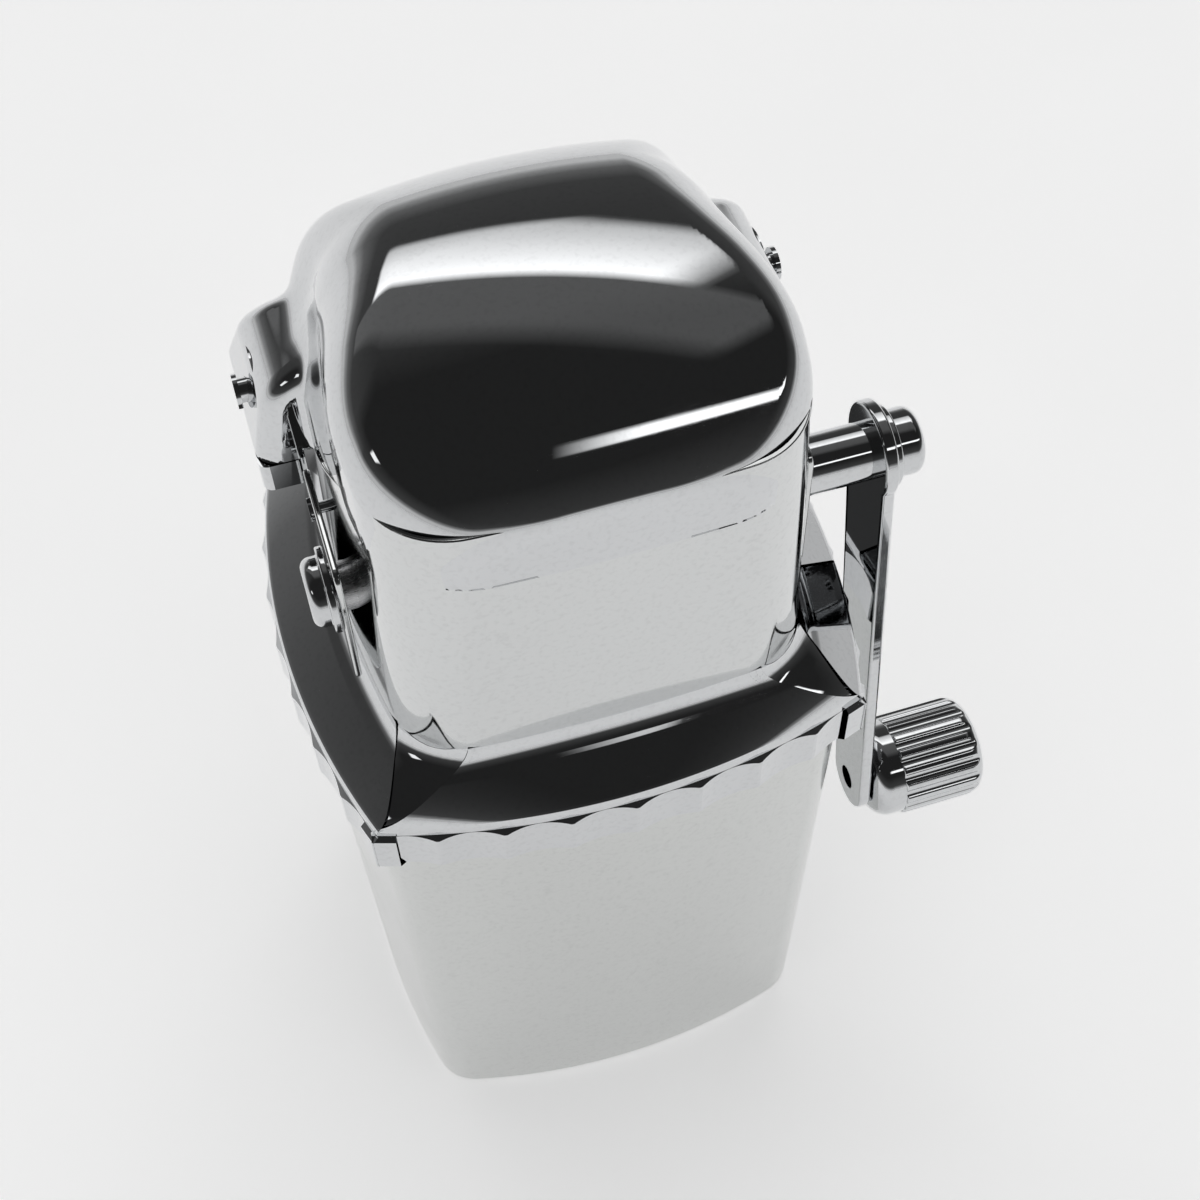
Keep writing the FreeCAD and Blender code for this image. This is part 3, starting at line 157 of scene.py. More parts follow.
class Skin:
    """Patches of one surface, welded into a mesh that keeps each patch's own normals."""

    def __init__(self):
        self.points, self.normals, self.faces, self.count = [], [], [], 0

    def patch(self, points, normals=None, wrap=False, facing=1):
        """Adds a grid of points. Without normals they come from the grid itself."""
        if normals is None:
            normals = facing * np.cross(slope(points, 1, wrap), slope(points, 0))
        rows, cols = points.shape[:2]
        index = np.arange(rows * cols).reshape(rows, cols)
        if wrap:
            index = np.hstack([index, index[:, :1]])
        quads = np.stack([index[:-1, :-1], index[:-1, 1:], index[1:, 1:], index[1:, :-1]], -1)
        quads = quads.reshape(-1, 4)
        points, normals = points.reshape(-1, 3), unit(normals.reshape(-1, 3))
        a, b, c, e = (points[quads[:, k]] for k in range(4))
        if (np.cross(c - a, e - b) * normals[quads].mean(1)).sum() < 0:
            quads = quads[:, ::-1]
        self.points.append(points)
        self.normals.append(normals)
        self.faces.append(quads + self.count)
        self.count += len(points)

    def loft(self, rows, spots, wrap=True):
        """Adds a patch through outlines at heights; it faces out where the rows go up."""
        points, sides = [], []
        for shape, z in rows:
            spot, normal = trace(shape, spots)
            points.append(np.column_stack([spot, z * np.ones(len(spot))]))
            sides.append(np.column_stack([-normal[:, 1], normal[:, 0], np.zeros(len(spot))]))
        points = np.array(points)
        self.patch(points, np.cross(np.array(sides), slope(points, 0)), wrap)

    def lathe(self, profile, y, z, steps=96):
        """Adds a surface turned about an axis along X through y, z. The profile is x, radius."""
        profile = np.array(profile, float)
        along = slope(profile, 0)
        angle = np.arange(steps) / steps * TAU
        ring = np.stack([np.zeros(steps), np.cos(angle), np.sin(angle)], -1)
        axis = np.array([1.0, 0, 0])
        points = profile[:, None, :1] * axis + profile[:, None, 1:] * ring + [0, y, z]
        self.patch(points, along[:, None, :1] * ring - along[:, None, 1:] * axis, True)

    def net(self, field, lowest, highest, step):
        """Adds the zero surface of a field as quads, one point to a cell, its creases kept sharp."""
        axes = [np.arange(a, b, step) for a, b in zip(lowest, highest)]
        grid = np.stack(np.meshgrid(*axes, indexing="ij"), -1)
        inside = field(grid) < 0
        size = np.array(inside.shape)
        total = int(size.prod())
        matrix, target, middle, count = (np.zeros((total, *tail)) for tail in ((3, 3), (3,), (3,), ()))
        quads = []
        for axis in range(3):
            ahead = np.eye(3, dtype=int)[axis]
            first = tuple(slice(0, n - a) for n, a in zip(size, ahead))
            second = tuple(slice(a, n) for n, a in zip(size, ahead))
            start = np.argwhere(inside[first] != inside[second])
            within = inside[tuple(start.T)]
            near, far = grid[tuple(start.T)], grid[tuple((start + ahead).T)]
            near, far = np.where(within[:, None], near, far), np.where(within[:, None], far, near)
            for _ in range(NET_HALVINGS):
                half = (near + far) / 2
                inner = (field(half) < 0)[:, None]
                near, far = np.where(inner, half, near), np.where(inner, far, half)
            normal = gradient(field, near)
            u, v = np.eye(3, dtype=int)[(axis + 1) % 3], np.eye(3, dtype=int)[(axis + 2) % 3]
            ring = [np.ravel_multi_index(tuple((start - shift).T), size) for shift in (0 * u, u, u + v, v)]
            for cell in ring:
                np.add.at(matrix, cell, normal[:, :, None] * normal[:, None, :])
                np.add.at(target, cell, normal * (normal * near).sum(1)[:, None])
                np.add.at(middle, cell, near)
                np.add.at(count, cell, 1)
            quad = np.stack(ring, -1)
            quads.append(np.where(within[:, None], quad, quad[:, ::-1]))
        quads = np.concatenate(quads)
        cells, index = np.unique(quads, return_inverse=True)
        index = index.reshape(quads.shape)
        centre = middle[cells] / count[cells][:, None]
        points = np.linalg.solve(matrix[cells] + NET_PULL * np.eye(3),
                                 (target[cells] + NET_PULL * centre)[..., None])[..., 0]
        points = np.clip(points, centre - NET_CLAMP * step, centre + NET_CLAMP * step)
        points -= gradient(field, points) * np.clip(field(points), -NET_NUDGE, NET_NUDGE)[:, None]
        corners = points[index]
        own = gradient(field, points)[index]
        face = gradient(field, corners.mean(1))[:, None]
        creased = (own * face).sum(-1, keepdims=True) < NET_CREASE
        normals = np.where(creased, face, own)
        self.points.append(corners.reshape(-1, 3))
        self.normals.append(normals.reshape(-1, 3))
        self.faces.append(np.arange(corners.size // 3).reshape(-1, 4) + self.count)
        self.count += corners.size // 3

    def build(self, name, finish, body, *nodes):
        points = np.concatenate(self.points)
        normals = np.concatenate(self.normals)
        faces = np.concatenate(self.faces)
        keys, first, weld = np.unique(np.round(points, 4), axis=0, return_index=True, return_inverse=True)
        weld = weld.reshape(-1)
        kept, corner_normals = [], []
        for face in faces:
            corners = []
            for corner in face:
                if not corners or weld[corner] != weld[corners[-1]]:
                    corners.append(corner)
            if weld[corners[0]] == weld[corners[-1]]:
                corners.pop()
            if len(corners) > 2:
                kept.append([weld[c] for c in corners])
                corner_normals += [normals[c] for c in corners]
        mesh = bpy.data.meshes.new(name)
        mesh.from_pydata(points[first] * MM, [], kept)
        mesh.polygons.foreach_set("use_smooth", [True] * len(mesh.polygons))
        mesh.normals_split_custom_set(corner_normals)
        mesh.materials.append(finish[0])
        piece = bpy.data.objects.new(name, mesh)
        bpy.context.collection.objects.link(piece)
        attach(piece, body)
        if nodes:
            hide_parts(*nodes)
        return piece


def arc(cx, cy, radius, start, end, steps):
    """Points of an arc, angles in degrees."""
    angles = np.radians(np.linspace(start, end, steps + 1))
    return np.column_stack([cx + radius * np.cos(angles), cy + radius * np.sin(angles)])


# ---------------------------------------------------------------- materials
def material(name):
    """A new material with its nodes, links and main shader."""
    item = bpy.data.materials.new(name)
    item.use_nodes = True
    return item, item.node_tree.nodes, item.node_tree.links, item.node_tree.nodes["Principled BSDF"]


def noise(nodes, links, scale, detail, stretch=(1, 1, 1)):
    """A noise pattern fixed to the object."""
    place = nodes.new("ShaderNodeTexCoord")
    mapping = nodes.new("ShaderNodeMapping")
    mapping.inputs["Scale"].default_value = stretch
    texture = nodes.new("ShaderNodeTexNoise")
    texture.inputs["Scale"].default_value = scale
    texture.inputs["Detail"].default_value = detail
    links.new(place.outputs["Object"], mapping.inputs["Vector"])
    links.new(mapping.outputs["Vector"], texture.inputs["Vector"])
    return texture.outputs["Fac"]


def ramp(nodes, links, source, stops):
    """Colours or levels over a value, given as places and colours."""
    item = nodes.new("ShaderNodeValToRGB")
    item.color_ramp.elements[0].position = stops[0][0]
    item.color_ramp.elements[1].position = stops[-1][0]
    for position, colour in stops[1:-1]:
        item.color_ramp.elements.new(position)
    for element, (position, colour) in zip(item.color_ramp.elements, stops):
        value = colour if isinstance(colour, tuple) else (colour,) * 3
        element.color = (*value, 1)
    links.new(source, item.inputs["Fac"])
    return item.outputs["Color"]


def combine(nodes, links, first, second, operation="ADD", factor=None):
    """A maths node on two outputs, or on one output and a number."""
    item = nodes.new("ShaderNodeMath")
    item.operation = operation
    links.new(first, item.inputs[0])
    if factor is not None:
        item.inputs[1].default_value = factor
    else:
        links.new(second, item.inputs[1])
    return item.outputs[0]


def bump(nodes, links, shader, height, strength, distance):
    item = nodes.new("ShaderNodeBump")
    item.inputs["Strength"].default_value = strength
    item.inputs["Distance"].default_value = distance
    links.new(height, item.inputs["Height"])
    links.new(item.outputs["Normal"], shader.inputs["Normal"])


def chrome(name, tint, low_rough, high_rough, haze):
    """Mirror plating with faint smudges, hairline scratches and specks of dust."""
    item, nodes, links, shader = material(name)
    shader.inputs["Metallic"].default_value = 1.0
    smudge = ramp(nodes, links, noise(nodes, links, 28, 5), [(0.52, low_rough), (0.72, haze)])
    hair = ramp(nodes, links, noise(nodes, links, 260, 2, (1, 14, 14)), [(0.60, 0.0), (0.74, high_rough)])
    total = combine(nodes, links, smudge, hair)
    links.new(total, shader.inputs["Roughness"])
    dust = noise(nodes, links, 900, 1)
    colour = ramp(nodes, links, dust, [(0.2, tuple(0.93 * c for c in tint)), (0.5, tint), (0.86, tint)])
    links.new(colour, shader.inputs["Base Color"])
    wave = noise(nodes, links, 34, 1)
    bump(nodes, links, shader, wave, 0.05, 0.0004)
    return item


def satin(name, colour, rough, grain, scale, metallic=1.0, depth=0.0002):
    """Brushed, cast or moulded surface with its own grain."""
    item, nodes, links, shader = material(name)
    shader.inputs["Metallic"].default_value = metallic
    fine = noise(nodes, links, scale, 6, grain)
    dark = tuple(0.8 * c for c in colour)
    links.new(ramp(nodes, links, fine, [(0.3, dark), (0.7, colour)]), shader.inputs["Base Color"])
    links.new(ramp(nodes, links, fine, [(0.3, rough * 0.8), (0.7, rough * 1.25)]),
              shader.inputs["Roughness"])
    bump(nodes, links, shader, fine, 0.35, depth)
    return item


CHROME_TINT = (0.66, 0.67, 0.68)
PLATED = (chrome("chrome_plated_plastic", CHROME_TINT, 0.02, 0.05, 0.10), "plated_plastic")
SHEET = (chrome("polished_sheet_steel", (0.68, 0.69, 0.69), 0.05, 0.06, 0.12), "polished_steel")
BRIGHT = (chrome("bright_chrome", (0.64, 0.65, 0.66), 0.03, 0.07, 0.09), "bright_chrome")
CUP_FINISH = (chrome("cup_plating", (0.66, 0.67, 0.66), 0.16, 0.05, 0.24), "plated_plastic")
CAST = satin("cast_alloy_grain", (0.50, 0.51, 0.52), 0.46, (1, 1, 1), 900)
BLADE = satin("blade_steel_grain", (0.56, 0.56, 0.57), 0.28, (1, 1, 18), 500)
BUSH = satin("bush_plastic_grain", (0.80, 0.79, 0.75), 0.5, (1, 1, 1), 1400, 0.0, 0.0001)
ZINC = satin("zinc_plate", (0.62, 0.63, 0.64), 0.3, (1, 1, 1), 1500, 1.0, 0.0001)
RUBBER = satin("rubber_grain", (0.05, 0.05, 0.05), 0.7, (1, 1, 1), 1800, 0.0, 0.0003)
SLOT_LOOKS = {"plated_plastic": PLATED[0], "polished_steel": SHEET[0], "bright_chrome": BRIGHT[0],
              "cast_alloy": CAST, "blade_steel": BLADE, "bush_plastic": BUSH, "zinc_screws": ZINC,
              "rubber_pad": RUBBER}


# ---------------------------------------------------------------- ice cup
def cup_shape(z):
    return towards(CUP_BASE, CUP_TOP, (z - CUP_FOOT) / (CUP_RIM - CUP_FOOT))


def make_cup():
    spots = columns(40, 14)
    foot_round, lip = 2.5, 0.6
    skin = Skin()
    turn = np.radians(np.linspace(0, 90, 7))
    foot = [(inset(CUP_BASE, foot_round * (1 - math.sin(t))), CUP_FOOT + foot_round * (1 - math.cos(t)))
            for t in turn]
    skin.loft(foot, spots)
    wall_top = CUP_RIM - lip
    skin.loft([(cup_shape(z), z) for z in np.linspace(CUP_FOOT + foot_round, wall_top, 12)], spots)
    turn = np.radians(np.linspace(0, 90, 4))
    skin.loft([(inset(CUP_TOP, lip * (1 - math.cos(t))), wall_top + lip * math.sin(t)) for t in turn], spots)
    inner_top = inset(CUP_TOP, CUP_WALL)
    inner_foot = inset(CUP_BASE, CUP_WALL)
    skin.loft([(inset(CUP_TOP, lip), CUP_RIM), (inner_top, CUP_RIM)], spots)
    skin.loft([(towards(inner_top, inner_foot, s), CUP_RIM + (CUP_FLOOR - CUP_RIM) * s)
               for s in np.linspace(0, 1, 6)], spots)
    recess = inset(CUP_BASE, 5.0)
    cap(skin, inner_foot, CUP_FLOOR, spots, 1)
    skin.loft([(recess, CUP_FOOT), (inset(CUP_BASE, foot_round), CUP_FOOT)], spots)
    skin.loft([(recess, 1.6), (recess, CUP_FOOT)], spots)
    cap(skin, recess, 1.6, spots, -1)
    skin.build("cup_body", CUP_FINISH, "cup", "ice_cup")


def cap(skin, shape, z, spots, up):
    """Closes an outline with a flat face at one height."""
    edge = trace(shape, spots)[0]
    centre = edge.mean(0)
    rows = [np.column_stack([centre + (edge - centre) * s, np.full(len(edge), z)]) for s in (1, 0.5, 0)]
    points = np.array(rows)
    skin.patch(points, np.tile([0.0, 0.0, up], (*points.shape[:2], 1)), True)


# ---------------------------------------------------------------- base ring
def flute_reach(angle):
    """Distance from the bow's centre to the hollow of a flute, and its slope."""
    reach = SKIRT[3] + FLUTE_SKIN + FLUTE_RADIUS
    under = np.sqrt(FLUTE_RADIUS ** 2 - (reach * np.sin(angle)) ** 2)
    value = reach * np.cos(angle) - under
    rise = -reach * np.sin(angle) + reach ** 2 * np.sin(angle) * np.cos(angle) / under
    return value, rise


def flute_edge():
    """Half angle of one flute where it meets the ridge's outer face."""
    near, far = 0.0, math.radians(FLUTE_STEP) / 2
    for _ in range(50):
        middle = (near + far) / 2
        if flute_reach(middle)[0] < SKIRT[3] + RIDGE_RISE:
            near = middle
        else:
            far = middle
    return near


def skirt_runs():
    """Runs of columns round the skirt: arc number, shares, rise over the skirt, rise per angle."""
    arcs = arcs_of(SKIRT)
    half_flute, step = flute_edge(), math.radians(FLUTE_STEP)
    runs = []
    for k in range(8):
        start, end = arcs[k, 3], arcs[k, 4]
        middle, span = (start + end) / 2, end - start
        if k % 2:
            share = np.linspace(0, 1, 13)
            runs.append((k, share, np.full(13, RIDGE_RISE), np.zeros(13)))
            continue
        edges = [start]
        for n in range(FLUTES):
            centre = middle + (n - (FLUTES - 1) / 2) * step
            edges += [centre - half_flute, centre + half_flute]
        edges.append(end)
        for n, (a, b) in enumerate(zip(edges, edges[1:])):
            angles = np.linspace(a, b, 15 if n % 2 else 3)
            rise, rate = np.full(len(angles), RIDGE_RISE), np.zeros(len(angles))
            if n % 2:
                value, rate = flute_reach(angles - (a + b) / 2)
                rise = value - SKIRT[3]
            runs.append((k, (angles - start) / span, rise, rate))
    return runs


def ring_profile():
    """Share from the tower to the skirt and height, over the rim, up the slope and the cove."""
    turns = np.radians(np.linspace(0, 70, 9))
    rim = [(RIM_SHARE + (1 - RIM_SHARE) * math.cos(t), RIM_TOP - RIM_ROUND * (1 - math.sin(t)))
           for t in turns]
    last = math.radians(COVE_ANGLE)
    coves = np.radians(np.linspace(COVE_ANGLE, 0, 9))
    cove = [(COVE_SHARE * (1 - math.cos(t)) / (1 - math.cos(last)), TOWER_FOOT - COVE_RADIUS * math.sin(t))
            for t in coves]
    slope_rows = [tuple(np.array(rim[-1]) + (np.array(cove[0]) - rim[-1]) * s)
                  for s in np.linspace(0, 1, 12)[1:-1]]
    rows = np.array([(1.0, RIDGE_TOP)] + rim + slope_rows + cove)
    for _ in range(6):
        rows[9:-9] = (rows[8:-10] + 2 * rows[9:-9] + rows[10:-8]) / 4
    return rows


def make_ring():
    skin = Skin()
    runs = skirt_runs()
    inner = inset(CUP_TOP, -0.6)
    for k, share, rise, rate in runs:
        spots = np.column_stack([np.full(len(share), k), share])
        spot, normal = trace(SKIRT, spots)
        side = np.column_stack([-normal[:, 1], normal[:, 0]])
        radius = arcs_of(SKIRT)[k, 2]
        run_side = unit(side * (radius + rise)[:, None] + normal * rate[:, None])
        outer = spot + normal * rise[:, None]
        face = np.column_stack([run_side[:, 1], -run_side[:, 0], np.zeros(len(share))])
        crease = RIDGE_TOP - rise
        heights = [np.full(len(share), SKIRT_FOOT), (SKIRT_FOOT + crease) / 2, crease]
        wall = np.array([np.column_stack([outer, z]) for z in heights])
        skin.patch(wall, np.tile(face, (3, 1, 1)))
        slant = np.array([wall[-1], np.column_stack([spot, np.full(len(share), RIDGE_TOP)])])
        flat = np.column_stack([normal, np.ones(len(share))])
        skin.patch(slant, np.tile(flat, (2, 1, 1)))
        foot = trace(inner, spots)[0]
        under = np.array([np.column_stack([foot, heights[0]]), wall[0]])
        skin.patch(under, np.tile([0.0, 0.0, -1.0], (2, len(share), 1)))
        profile = ring_profile()
        skin.loft([(towards(TOWER, SKIRT, s), z) for s, z in profile[:2]], spots, False)
        skin.loft([(towards(TOWER, SKIRT, s), z) for s, z in profile[1:]], spots, False)
        ledge = inset(towards(TOWER, SKIRT, 0.7), 2.2)
        mouth = inset(TOWER, 7.0)
        skin.loft([(TOWER, TOWER_FOOT), (mouth, TOWER_FOOT)], spots, False)
        skin.loft([(mouth, TOWER_FOOT), (mouth, TOWER_FOOT - COVE_RADIUS)], spots, False)
        skin.loft([(mouth, TOWER_FOOT - COVE_RADIUS), (ledge, CUP_RIM)], spots, False)
        skin.loft([(ledge, CUP_RIM), (inner, CUP_RIM)], spots, False)
        skin.loft([(inner, CUP_RIM), (inner, SKIRT_FOOT)], spots, False)
    skin.build("ring_body", PLATED, "head", "base_ring")


# ---------------------------------------------------------------- housing shell
def tower_at(z):
    """The tower's outline at a height: its sides lean in towards the shell's top edge."""
    lean = TOWER_DRAFT * (z - TOWER_FOOT) / (LID_EDGE - LID_GAP - TOWER_FOOT)
    return TOWER - [lean, 0, 0, 0, 0, 0]


def shell_top(y):
    """Height of the shell's upper edge, level at the front and falling to the ears."""
    top = LID_EDGE - LID_GAP
    share = np.clip((y + SLOPE_START) / (EAR_FRONT - LID_GAP + SLOPE_START), 0, 1)
    return top + (SHOULDER - top) * share


def shell_spots():
    """Columns from the right rear edge of the shell round the front to the left rear edge."""
    arcs = arcs_of(TOWER)

    def share_at(y):
        angle = math.asin((y - arcs[0, 1]) / arcs[0, 2])
        return (angle - arcs[0, 3]) / (arcs[0, 4] - arcs[0, 3])

    marks = [share_at(SHELL_REAR), share_at(EAR_FRONT - LID_GAP), 0.0]
    right = np.concatenate([np.linspace(marks[0], marks[1], 9)[:-1], np.linspace(marks[1], 0.0, 25)])
    spots = [(0, s) for s in right]
    spots += [(7, s) for s in np.linspace(1, 0, 17)[1:]]
    spots += [(6, s) for s in np.linspace(1, 0, 41)[1:]]
    spots += [(5, s) for s in np.linspace(1, 0, 17)[1:]]
    spots += [(4, 1 - s) for s in right[::-1][1:]]
    return np.array(spots)


def make_shell():
    spots = shell_spots()
    bead = 0.35
    top = shell_top(trace(TOWER, spots)[0][:, 1])

    def row(wall, share, lift=0.0):
        """Points of the sheet at a share of each column's height and an inset from outside."""
        heights = TOWER_FOOT + (top - bead - TOWER_FOOT) * share + lift
        spot = np.array([trace(inset(tower_at(z), wall), spots[[n]])[0][0] for n, z in enumerate(heights)])
        return np.column_stack([spot, heights])

    normal = trace(TOWER, spots)[1]
    level = np.zeros((len(spots), 1))
    out = np.hstack([normal, level])
    up = np.tile([0.0, 0.0, 1.0], (len(spots), 1))
    skin = Skin()
    outside = np.array([row(0, s) for s in np.linspace(0, 1, 9)])
    lean = TOWER_DRAFT / (LID_EDGE - LID_GAP - TOWER_FOOT) * np.abs(normal[:, :1])
    skin.patch(outside, np.tile(np.hstack([normal, lean]), (9, 1, 1)))
    turns = np.radians(np.linspace(0, 90, 4))
    lip = np.array([row(bead * (1 - math.cos(t)), 1, bead * math.sin(t)) for t in turns])
    skin.patch(lip, np.array([out * math.cos(t) + up * math.sin(t) for t in turns]))
    edge = np.array([lip[-1], row(SHELL_THICK, 1, bead)])
    skin.patch(edge, np.tile(up, (2, 1, 1)))
    inside = np.array([row(SHELL_THICK, 1, bead), row(SHELL_THICK, 0)])
    skin.patch(inside, np.tile(-out, (2, 1, 1)))
    skin.patch(np.array([inside[1], outside[0]]), np.tile(-up, (2, 1, 1)))
    for end in (0, -1):
        side = np.array([[outside[0, end], lip[-1, end]], [inside[1, end], inside[0, end]]])
        skin.patch(side, np.tile([0.0, 1.0, 0.0], (2, 2, 1)))
    skin.build("shell_sheet", SHEET, "head", "housing_shell")


# ---------------------------------------------------------------- lid
LID_HALF, LID_SIDE_BOW, LID_FRONT_BOW, LID_WALL, LID_MIDDLE = 44.8, 250.0, 476.0, 1.7, -0.7
HOOD_AXIS, HOOD_RADIUS, CROWN_RADIUS = (-4.0, 208.0), 53.0, 190.0
NOSE_LEVEL, NOSE_REACH, NOSE_POWER = 208.0, 54.4, 2.2
NOSE_FRONT, NOSE_CORNER, FRONT_ROUND, HOOD_ROUND, HOOD_ROUND_MIDDLE = 51.2, 16.5, 1.2, 10.0, 18.0
WAIST_BEGINS, WAIST_ENDS = (-30, 6), (16, 40)
AHEAD_FROM, AHEAD_SPAN, BESIDE_FROM, BESIDE_SPAN = -15, 35, 10, 34
EAR_FILL_BEGINS, EAR_FILL_ENDS = 1, 9
HOOD_WAIST, WAIST_FROM, WAIST_TO = 4.5, 222.0, 242.0
EAR_BROW, EAR_SHOULDER, EAR_TAIL = 4.5, 9.0, 3.0
EAR_FILL, EAR_FILL_HIGH, EAR_FILL_FROM, EAR_FILL_SPAN = 4.0, 9.0, 224.0, 10.0
EAR_HALF, EAR_REAR, EAR_BOTTOM, EAR_TOP, EAR_TOP_REAR = 56.7, 41.0, 206.0, 239.0, 22.0
EAR_LEAN, EAR_TOP_OUTER, EAR_TOP_INNER = (54.0, 219.0), (55.0, 227.5), (30.0, 231.5)
HOOD_EDGE, EAR_INNER, NET_STEP = 224.0, 47.4, 0.75
PIVOT_Y, PIVOT_Z, PIVOT_HOLE = 20.0, 213.0, 2.56
NET_LOW, NET_HIGH = (-58.7, -52.1, 204.3), (58.7, 50.9, 263.3)


def round_max(a, b, radius):
    """Intersection of two solids whose shared edge is rounded."""
    corner = np.hypot(np.maximum(a + radius, 0), np.maximum(b + radius, 0))
    return np.minimum(-radius, np.maximum(a, b)) + corner


def soft_min(a, b, width):
    """Union of two solids whose inner corner is filled."""
    share = np.maximum(width - np.abs(a - b), 0) / width
    return np.minimum(a, b) - share ** 3 * width / 6


def plane(u, v, first, second):
    """Distance outside the line through two points; the solid lies to the left of it."""
    du, dv = second[0] - first[0], second[1] - first[1]
    return ((u - first[0]) * dv - (v - first[1]) * du) / math.hypot(du, dv)


def side_bow(x, y, half, middle):
    """Distance outside a bowed side."""
    return np.hypot(x + LID_SIDE_BOW - half, y - middle) - LID_SIDE_BOW


def front_bow(x, y, front, bow):
    """Distance outside a bowed front."""
    return np.hypot(x, y - (bow - front)) - bow


def eased(value, start, end):
    """Rises smoothly from nought at the start to one at the end."""
    share = np.clip((value - start) / (end - start), 0, 1)
    return share * share * (3 - 2 * share)


def hood_form(x, y, z):
    """Distance outside the hood: a round back, a flatter rolled front and rolled sides."""
    middle = eased(y, *WAIST_BEGINS) * (1 - eased(y, *WAIST_ENDS))
    half = LID_HALF - HOOD_WAIST * middle * eased(z, WAIST_FROM, WAIST_TO)
    front = front_bow(x, y, NOSE_FRONT, LID_FRONT_BOW)
    plan = round_max(side_bow(x, y, half, LID_MIDDLE), front, NOSE_CORNER)
    rise = HOOD_AXIS[1] + HOOD_RADIUS - NOSE_LEVEL
    u, v = np.maximum(HOOD_AXIS[0] - y, 0) / NOSE_REACH, np.maximum(z - NOSE_LEVEL, 0) / rise
    reach = np.maximum((u ** NOSE_POWER + v ** NOSE_POWER) ** (1 / NOSE_POWER), 0.05)
    power = NOSE_POWER - 1
    steep = np.hypot((u / reach) ** power / NOSE_REACH, (v / reach) ** power / rise)
    rolled = (reach - 1) / np.maximum(steep, 1e-3)
    turned = np.hypot(y - HOOD_AXIS[0], z - HOOD_AXIS[1]) - HOOD_RADIUS
    profile = np.maximum(np.where(y < HOOD_AXIS[0], rolled, turned), -60)
    roof = np.hypot(x, profile + CROWN_RADIUS) - CROWN_RADIUS
    ahead = np.clip((-y + AHEAD_FROM) / AHEAD_SPAN, 0, 1)
    beside = np.clip((x - BESIDE_FROM) / BESIDE_SPAN, 0, 1)
    share = ahead ** 2 / (ahead ** 2 + beside ** 2 + 1e-9)
    radius = HOOD_ROUND + (HOOD_ROUND_MIDDLE - HOOD_ROUND) * middle
    return round_max(plan, roof, radius + (FRONT_ROUND - radius) * share)


def lid_form(points):
    """Distance outside the lid's outer form."""
    x, y, z = np.abs(points[..., 0]), points[..., 1], points[..., 2]
    outer = plane(x, z, (EAR_HALF, EAR_BOTTOM), EAR_LEAN)
    top = plane(x, z, EAR_TOP_OUTER, EAR_TOP_INNER)
    across = round_max(outer, top, EAR_SHOULDER)
    front = round_max(across, EAR_FRONT - y, EAR_BROW)
    ears = round_max(front, plane(y, z, (EAR_REAR, EAR_BOTTOM), (EAR_TOP_REAR, EAR_TOP)), EAR_TAIL)
    share = (eased(z, EAR_FILL_FROM, EAR_FILL_FROM + EAR_FILL_SPAN)
             * eased(y, EAR_FRONT - EAR_FILL_BEGINS, EAR_FRONT + EAR_FILL_ENDS))
    return soft_min(hood_form(x, y, z), ears, EAR_FILL + (EAR_FILL_HIGH - EAR_FILL) * share)


def lid_solid(points):
    """Distance outside the lid: a sheet under its outer form, cut by its lower edge and pivots."""
    x, y, z = np.abs(points[..., 0]), points[..., 1], points[..., 2]
    outer = lid_form(points)
    sheet = np.maximum(outer, -(outer + LID_WALL))
    share = np.clip((y + SLOPE_START) / (EAR_FRONT + SLOPE_START), 0, 1)
    edge = LID_EDGE + (SHOULDER + LID_GAP - LID_EDGE) * share
    front = np.maximum(edge - z, y - EAR_FRONT - LID_WALL)
    ears = np.maximum(EAR_INNER - x, EAR_BOTTOM - z)
    keep = np.minimum(front, np.minimum(HOOD_EDGE - z, ears))
    pivot = np.minimum(PIVOT_HOLE - np.hypot(y - PIVOT_Y, z - PIVOT_Z), x - EAR_INNER)
    return np.maximum(np.maximum(sheet, keep), pivot)


def make_lid():
    skin = Skin()
    skin.net(lid_solid, NET_LOW, NET_HIGH, NET_STEP)
    skin.build("lid_cover", PLATED, "lid", "lid_shell")


# ---------------------------------------------------------------- crank and knob
def make_nut(name, node, body, side, length):
    """A washer face and a domed cap, turned about the shaft; side is 1 at the right, -1 at the left."""
    box_low, box_high = low(node), high(node)
    x0 = box_low[0] if side > 0 else -box_high[0]
    washer, radius, thick, dome = 8.8, 7.2, 1.6, 2.2
    profile = [[(x0, 5.0), (x0, washer - 0.4)],
               arc(x0 + 0.4, washer - 0.4, 0.4, 180, 90, 4),
               [(x0 + 0.4, washer), (x0 + thick - 0.5, washer)],
               arc(x0 + thick - 0.5, washer - 0.5, 0.5, 90, 0, 4),
               [(x0 + thick, washer - 0.5), (x0 + thick, radius + 0.25)],
               arc(x0 + thick + 0.25, radius + 0.25, 0.25, 180, 270, 3),
               [(x0 + thick + 0.25, radius), (x0 + thick + length - dome, radius)],
               arc(x0 + thick + length - dome, radius - dome, dome, 90, 0, 10),
               [(x0 + thick + length, radius - dome), (x0 + thick + length, 0.0)]]
    skin = Skin()
    for part in profile:
        part = np.array(part)
        skin.lathe(part * [side, 1] if side > 0 else (part * [side, 1])[::-1], SHAFT_Y, SHAFT_Z)
    skin.build(name, BRIGHT, body, node)


def make_sleeve():
    a, b = low("crank_sleeve")[0], high("crank_sleeve")[0]
    skin = Skin()
    skin.lathe([(a, 5.0), (a, 6.25)], SHAFT_Y, SHAFT_Z)
    skin.lathe([(a, 6.25), ((a + b) / 2, 6.25), (b, 6.25)], SHAFT_Y, SHAFT_Z)
    skin.lathe([(b, 6.25), (b, 5.0)], SHAFT_Y, SHAFT_Z)
    skin.lathe([(b, 5.0), (a, 5.0)], SHAFT_Y, SHAFT_Z)
    skin.build("sleeve_tube", BRIGHT, "rotor", "crank_sleeve")


